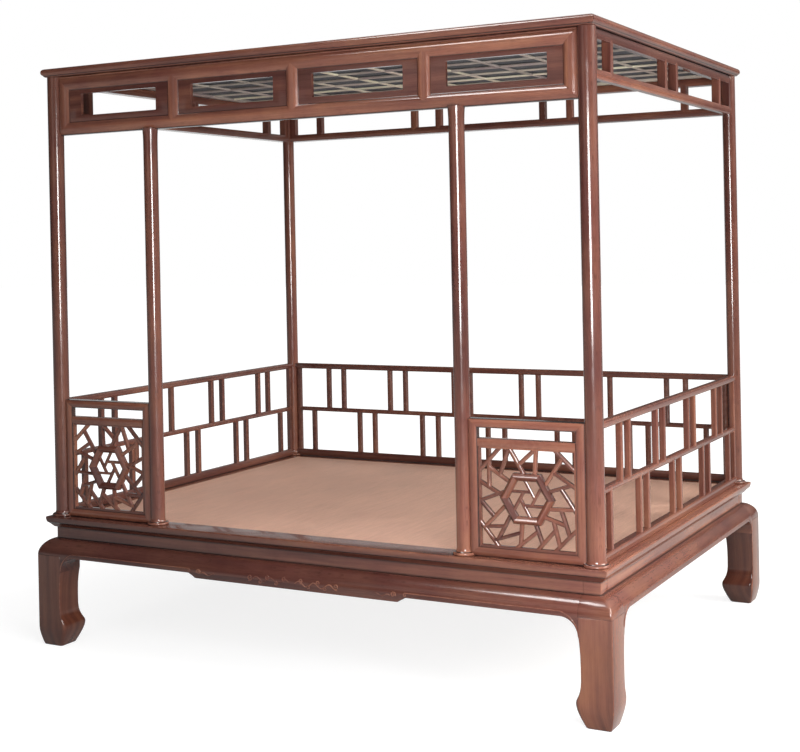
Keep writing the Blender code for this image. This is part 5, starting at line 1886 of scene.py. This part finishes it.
@dataclass
class Canopy:
    """Cornice, ceiling lattice and dust cloth."""

    overhang: float = 0.040
    width: float = 0.095
    setback: float = 0.012
    rabbet: float = 0.0149
    thick: float = 0.012
    border: float = 0.030
    bar: float = 0.015
    spine: float = 0.030
    lath: float = 0.0075  # thickness of the bars inside the border
    flush: float = 0.0008  # how much thinner the cross bars are
    columns: int = 10
    rows: int = 10
    cloth_thick: float = 0.0014
    cloth_slack: float = 0.0022  # height of the cloth's waves
    cloth_fold: float = 0.0030  # height of its soft folds
    cloth_hem: float = 0.040  # width that lies flat all round
    tone: float = 0.62
    edge: tuple[Pair, ...] = (  # a rail's moulding: distance out from its edge, height from its top
        (-0.0150, 0.0), (-0.0100, -0.0005), (-0.0062, -0.0020), (-0.0030, -0.0046), (-0.0010, -0.0085),
        (0.0, -0.0130), (-0.0004, -0.0175), (-0.0018, -0.0215), (-0.0042, -0.0245), (-0.0072, -0.0262),
        (-0.0080, -0.0270), (-0.0080, -0.0282), (-0.0100, -0.0305), (-0.0130, -0.0322), (-0.0170, -0.0330),
    )
    ease: float = 0.002  # of a rail's inner upper edge
    quirk: Pair = (-0.0283, -0.0269)  # heights of the moulding's quirk from its top, where shade and old polish are painted

    def section(self) -> Section:
        """Section of a rail.

        Returns:
            Points (distance out from its edge, height).
        """
        top, step = BED.canopy_top, BED.cornice_bottom + self.rabbet
        seat = -(self.overhang + self.setback)
        inner = [(seat, BED.cornice_bottom), (seat, step), (-self.width, step), (-self.width, top - self.ease),
                 (self.ease - self.width, top)]
        return [(u, top + dz) for u, dz in self.edge] + inner

    def dirty(self, spot: Vector) -> bool:
        """Says whether a point of a rail lies in its quirk or along its lower edge, where shade and old polish are
        painted.
        """
        below = spot.z - BED.canopy_top
        return self.quirk[0] < below < self.quirk[1] or spot.z < BED.cornice_bottom + TOUCH

    def lines(self, half: float, count: int, spine: float) -> list[Pair]:
        """Centres and widths of the bars across a width.

        Args:
            half: Half the width.
            count: Gaps.
            spine: Width of the middle bar.

        Returns:
            The bars, the two borders among them.
        """
        inside = half - self.border
        clear = (2 * inside - (count - 2) * self.bar - spine) / count
        bars, start = [(self.border / 2 - half, self.border)], -inside
        for i in range(1, count):
            width = spine if i == count // 2 else self.bar
            bars.append((start + clear + width / 2, width))
            start += clear + width
        return bars + [(half - self.border / 2, self.border)]

    def ceiling(self) -> None:
        """A grid of pale bars with a wider one along the middle."""
        half_x, half_y = BED.post_x - self.setback - SEAM, BED.post_y - self.setback - SEAM
        z = BED.cornice_bottom + SEAM + self.thick / 2
        long_bars, cross_bars = Stock("ceiling_lattice"), Stock("ceiling_lattice_cross")
        rise = (self.thick - self.lath) / 2
        for y, width in self.lines(half_y, self.rows, self.spine):
            level, thick = (z, self.thick) if abs(y) > half_y - self.border else (z + rise, self.lath)
            ends = [Vector((sign * half_x, y, level)) for sign in (-1, 1)]
            long_bars.bar(rounded(width, thick, 0.002, 2), *ends, UP)
        for x, width in self.lines(half_x, self.columns, self.bar):
            level, thick = (z, self.thick) if abs(x) > half_x - self.border else (z + rise, self.lath)
            ends = [Vector((x, sign * half_y, level)) for sign in (-1, 1)]
            cross_bars.bar(rounded(width, thick - self.flush, 0.0018, 2), *ends, UP)
        mesh = fused(long_bars.mesh(), cross_bars.mesh(), "UNION")
        place("ceiling_lattice_bars", mesh, BARE.material(), Slot.PALE_WOOD, ["ceiling_lattice"])

    def cloth(self) -> None:
        """Cloth laid over the ceiling, a little slack between its bars."""
        half_x, half_y = BED.post_x - self.setback - SEAM, BED.post_y - self.setback - SEAM
        low = BED.cornice_bottom + self.thick + 3 * SEAM
        bm = bmesh.new()
        bmesh.ops.create_grid(bm, x_segments=150, y_segments=120, size=1.0,
                              matrix=Matrix.Diagonal((half_x, half_y, 1.0, 1.0)))
        tied = self.overhang + self.width
        for vert in bm.verts:
            x, y = vert.co.x, vert.co.y
            inside = min(half_x - abs(x), half_y - abs(y)) - self.cloth_hem
            free = min(1.0, max(0.0, inside / tied))
            ripple = math.sin(11 * x + 5 * y + 2 * math.sin(3 * y)) * math.sin(9 * y - 4 * x + 1.5 * math.sin(4 * x))
            fold = 1 - abs(math.sin(2.1 * x - 3.3 * y + 0.7 * math.sin(5 * x)))
            rise = self.cloth_slack * (1 + ripple) + self.cloth_fold * fold ** 4
            vert.co.z = low + self.cloth_thick + free * rise
        mesh = written(bm, "dust_cloth_sheet")
        piece = place(mesh.name, mesh, Cloth().material(), Slot.CLOTH, ["dust_cloth"])
        solid = piece.modifiers.new("thickness", "SOLIDIFY")
        solid.thickness = self.cloth_thick
        solid.offset = -1.0

    def build(self) -> None:
        """Builds the canopy."""
        for side in Side:
            along, out = side.reach(BED.post_x + self.overhang, BED.post_y + self.overhang)
            node, tones = "cornice_" + side.label(), (self.tone, self.tone)
            mitred_rail(node, side, self.section(), along, out, tones, self.dirty)
        self.ceiling()
        self.cloth()


@dataclass(frozen=True)
class Lamp:
    """A soft panel of light that the camera doesn't see."""

    name: str
    spot: tuple[float, float, float]
    aim: tuple[float, float, float]
    size: Pair  # width and height
    power: float  # watts
    tint: Colour = WHITE
    mirrored: bool = True  # False where polished wood doesn't mirror it
    lights: bool = True  # False for a card that is only mirrored

    def build(self) -> None:
        """Puts the lamp in the scene."""
        data = bpy.data.lights.new(self.name, "AREA")
        data.shape = "RECTANGLE"
        data.size, data.size_y = self.size
        data.energy = self.power
        data.color = self.tint
        lamp = bpy.data.objects.new(self.name, data)
        lamp.visible_glossy = self.mirrored
        lamp.visible_diffuse = self.lights
        lamp.visible_camera = False
        ahead = (Vector(self.aim) - Vector(self.spot)).normalized()
        lamp.matrix_world = Matrix.Translation(self.spot) @ ahead.to_track_quat("-Z", "Y").to_matrix().to_4x4()
        bpy.context.scene.collection.objects.link(lamp)


LAMPS = (
    Lamp("window_right", (4.9, -2.4, 1.5), (0.4, -0.6, 1.3), (0.30, 1.6), 60.0, mirrored=False),
    Lamp("window_high", (7.0, 1.0, 5.0), (0.0, 0.0, 0.6), (5.0, 3.6), 700.0, (1.0, 0.96, 0.87)),
    Lamp("soft_key", (2.0, -2.35, 1.25), (0.9, -0.8, 0.9), (1.5, 1.5), 68.0, mirrored=False),
    Lamp("frieze_fill", (-0.4, -2.7, 2.45), (0.0, -0.8, 2.1), (1.8, 0.6), 12.0, mirrored=False),
    Lamp("tall_card", (2.06, -3.5, 1.62), (0.9, -0.8, 1.2), (0.85, 1.15), 122.0, lights=False),
    Lamp("overhead_card", (-0.3, -2.2, 4.0), (0.7, -0.9, 0.4), (1.2, 0.9), 50.0, lights=False),
    Lamp("back_card", (-2.7, 3.3, 1.65), (0.0, -0.85, 0.5), (3.6, 1.2), 7.0, lights=False),
    Lamp("front_fill", (-1.5, -5.5, 2.8), (0.0, 0.0, 1.0), (2.2, 2.2), 6.0),
    Lamp("ceiling_soft", (0.6, -0.6, 5.0), (0.2, 0.0, 0.0), (4.0, 4.0), 40.0),
)


@dataclass
class Studio:
    """Floor, light and camera."""

    eye: tuple[float, float, float] = (2.681, -5.044, 1.538)
    yaw: float = 28.62
    pitch: float = -0.23
    roll: float = -1.16
    focal: float = 1399.6  # pixels, in an image 800 wide
    image_width: int = 800
    shift_x: float = 0.0101
    shift_y: float = -0.1575
    floor_glow: Pair = (0.84, 1.0)  # near the bed and further out
    floor_reach: Pair = (1.5, 3.4)
    floor_shine: float = 0.30  # share of the glow in reflections
    floor_tone: float = 0.30
    floor_half: float = 40.0
    sky: float = 0.90
    sky_aim: tuple[float, float, float] = (0.55, 0.25, 0.80)
    room: float = 0.07
    room_edge: float = 0.35  # cosine, about, of the angle from the sky's middle where the room starts

    def camera(self) -> None:
        """The camera at the photograph's viewing angle."""
        data = bpy.data.cameras.new("camera")
        data.sensor_width = 36.0
        data.lens = self.focal / self.image_width * data.sensor_width
        data.shift_x, data.shift_y = self.shift_x, self.shift_y
        yaw, pitch, roll = (math.radians(angle) for angle in (self.yaw, self.pitch, self.roll))
        ahead = Vector((-math.sin(yaw) * math.cos(pitch), math.cos(yaw) * math.cos(pitch), math.sin(pitch)))
        level = ahead.cross(UP).normalized()
        above = level.cross(ahead)
        right = level * math.cos(roll) + above * math.sin(roll)
        up = above * math.cos(roll) - level * math.sin(roll)
        camera = bpy.data.objects.new("camera", data)
        camera.matrix_world = Matrix.Translation(self.eye) @ Matrix((right, up, -ahead)).transposed().to_4x4()
        bpy.context.scene.collection.objects.link(camera)
        bpy.context.scene.camera = camera

    def world(self) -> None:
        """White to the camera; as light, a pale sky high on the right and a dim room elsewhere."""
        world = bpy.data.worlds.new("studio")
        bpy.context.scene.world = world
        world.use_nodes = True
        tree = world.node_tree
        background = tree.nodes["Background"]
        background.inputs["Color"].default_value = (1.0, 1.0, 1.0, 1.0)
        path = tree.nodes.new("ShaderNodeLightPath")
        toward = tree.nodes.new("ShaderNodeVectorMath")
        toward.operation = "DOT_PRODUCT"
        toward.inputs[1].default_value = self.sky_aim
        tree.links.new(tree.nodes.new("ShaderNodeTexCoord").outputs["Generated"], toward.inputs[0])
        wall = tree.nodes.new("ShaderNodeMapRange")
        wall.interpolation_type = "SMOOTHSTEP"
        limits = {"From Min": self.room_edge, "From Max": 1.0, "To Min": self.room, "To Max": self.sky}
        for key, value in limits.items():
            wall.inputs[key].default_value = value
        tree.links.new(toward.outputs["Value"], wall.inputs["Value"])
        level = tree.nodes.new("ShaderNodeMix")
        tree.links.new(path.outputs["Is Camera Ray"], level.inputs[0])
        tree.links.new(wall.outputs[0], level.inputs[2])
        level.inputs[3].default_value = 1.0
        tree.links.new(level.outputs[0], background.inputs["Strength"])

    def floor(self) -> None:
        """A pale floor that glows white to the camera and takes a soft shadow."""
        bm = bmesh.new()
        bmesh.ops.create_grid(bm, x_segments=1, y_segments=1, size=self.floor_half)
        mesh = written(bm, "floor")
        g = Graph("pale_floor")
        path = g.add("LightPath").outputs
        seen = g.calc("MAXIMUM", path["Is Camera Ray"], g.calc("MULTIPLY", path["Is Glossy Ray"], self.floor_shine))
        away = g.add("VectorMath", {0: g.add("TexCoord").outputs["Object"]}, operation="LENGTH").outputs["Value"]
        glow = g.calc("MULTIPLY", seen, g.span(away, *self.floor_glow, *self.floor_reach))
        tone = self.floor_tone
        g.feed(g.shader, {"Base Color": (tone, tone, tone, 1.0), "Roughness": 0.9, "Specular IOR Level": 0.0,
                          "Emission Color": (1.0, 1.0, 1.0, 1.0), "Emission Strength": glow})
        mesh.materials.append(g.material)
        floor = bpy.data.objects.new("floor", mesh)
        bpy.context.scene.collection.objects.link(floor)

    def build(self) -> None:
        """Builds the studio."""
        bpy.context.scene.view_settings.view_transform = "Standard"
        self.camera()
        self.world()
        self.floor()
        for lamp in LAMPS:
            lamp.build()


def main() -> None:
    """Builds the studio and dresses the bed, sub-assembly by sub-assembly."""
    logging.basicConfig(level=logging.INFO, format="%(message)s")
    Studio().build()
    Base().build()
    Seat().build()
    Posts().build()
    near, far = BED.front_radius, BED.back_radius
    # railing tones by side paint light and shade: lighter on the lit right side, darker at the back and left
    Railing(Side.BACK, BED.post_x, BED.post_y, (far, far), bays=6, tone=0.32).build()
    Railing(Side.RIGHT, BED.post_y, BED.post_x, (near, far), bays=4, tone=0.55).build()
    Railing(Side.LEFT, BED.post_y, BED.post_x, (far, near), bays=4, tone=0.30).build()
    Panel("left", -1).build()
    Panel("right", 1).build()
    Friezes().build()
    Canopy().build()


if __name__ == "__main__":
    main()
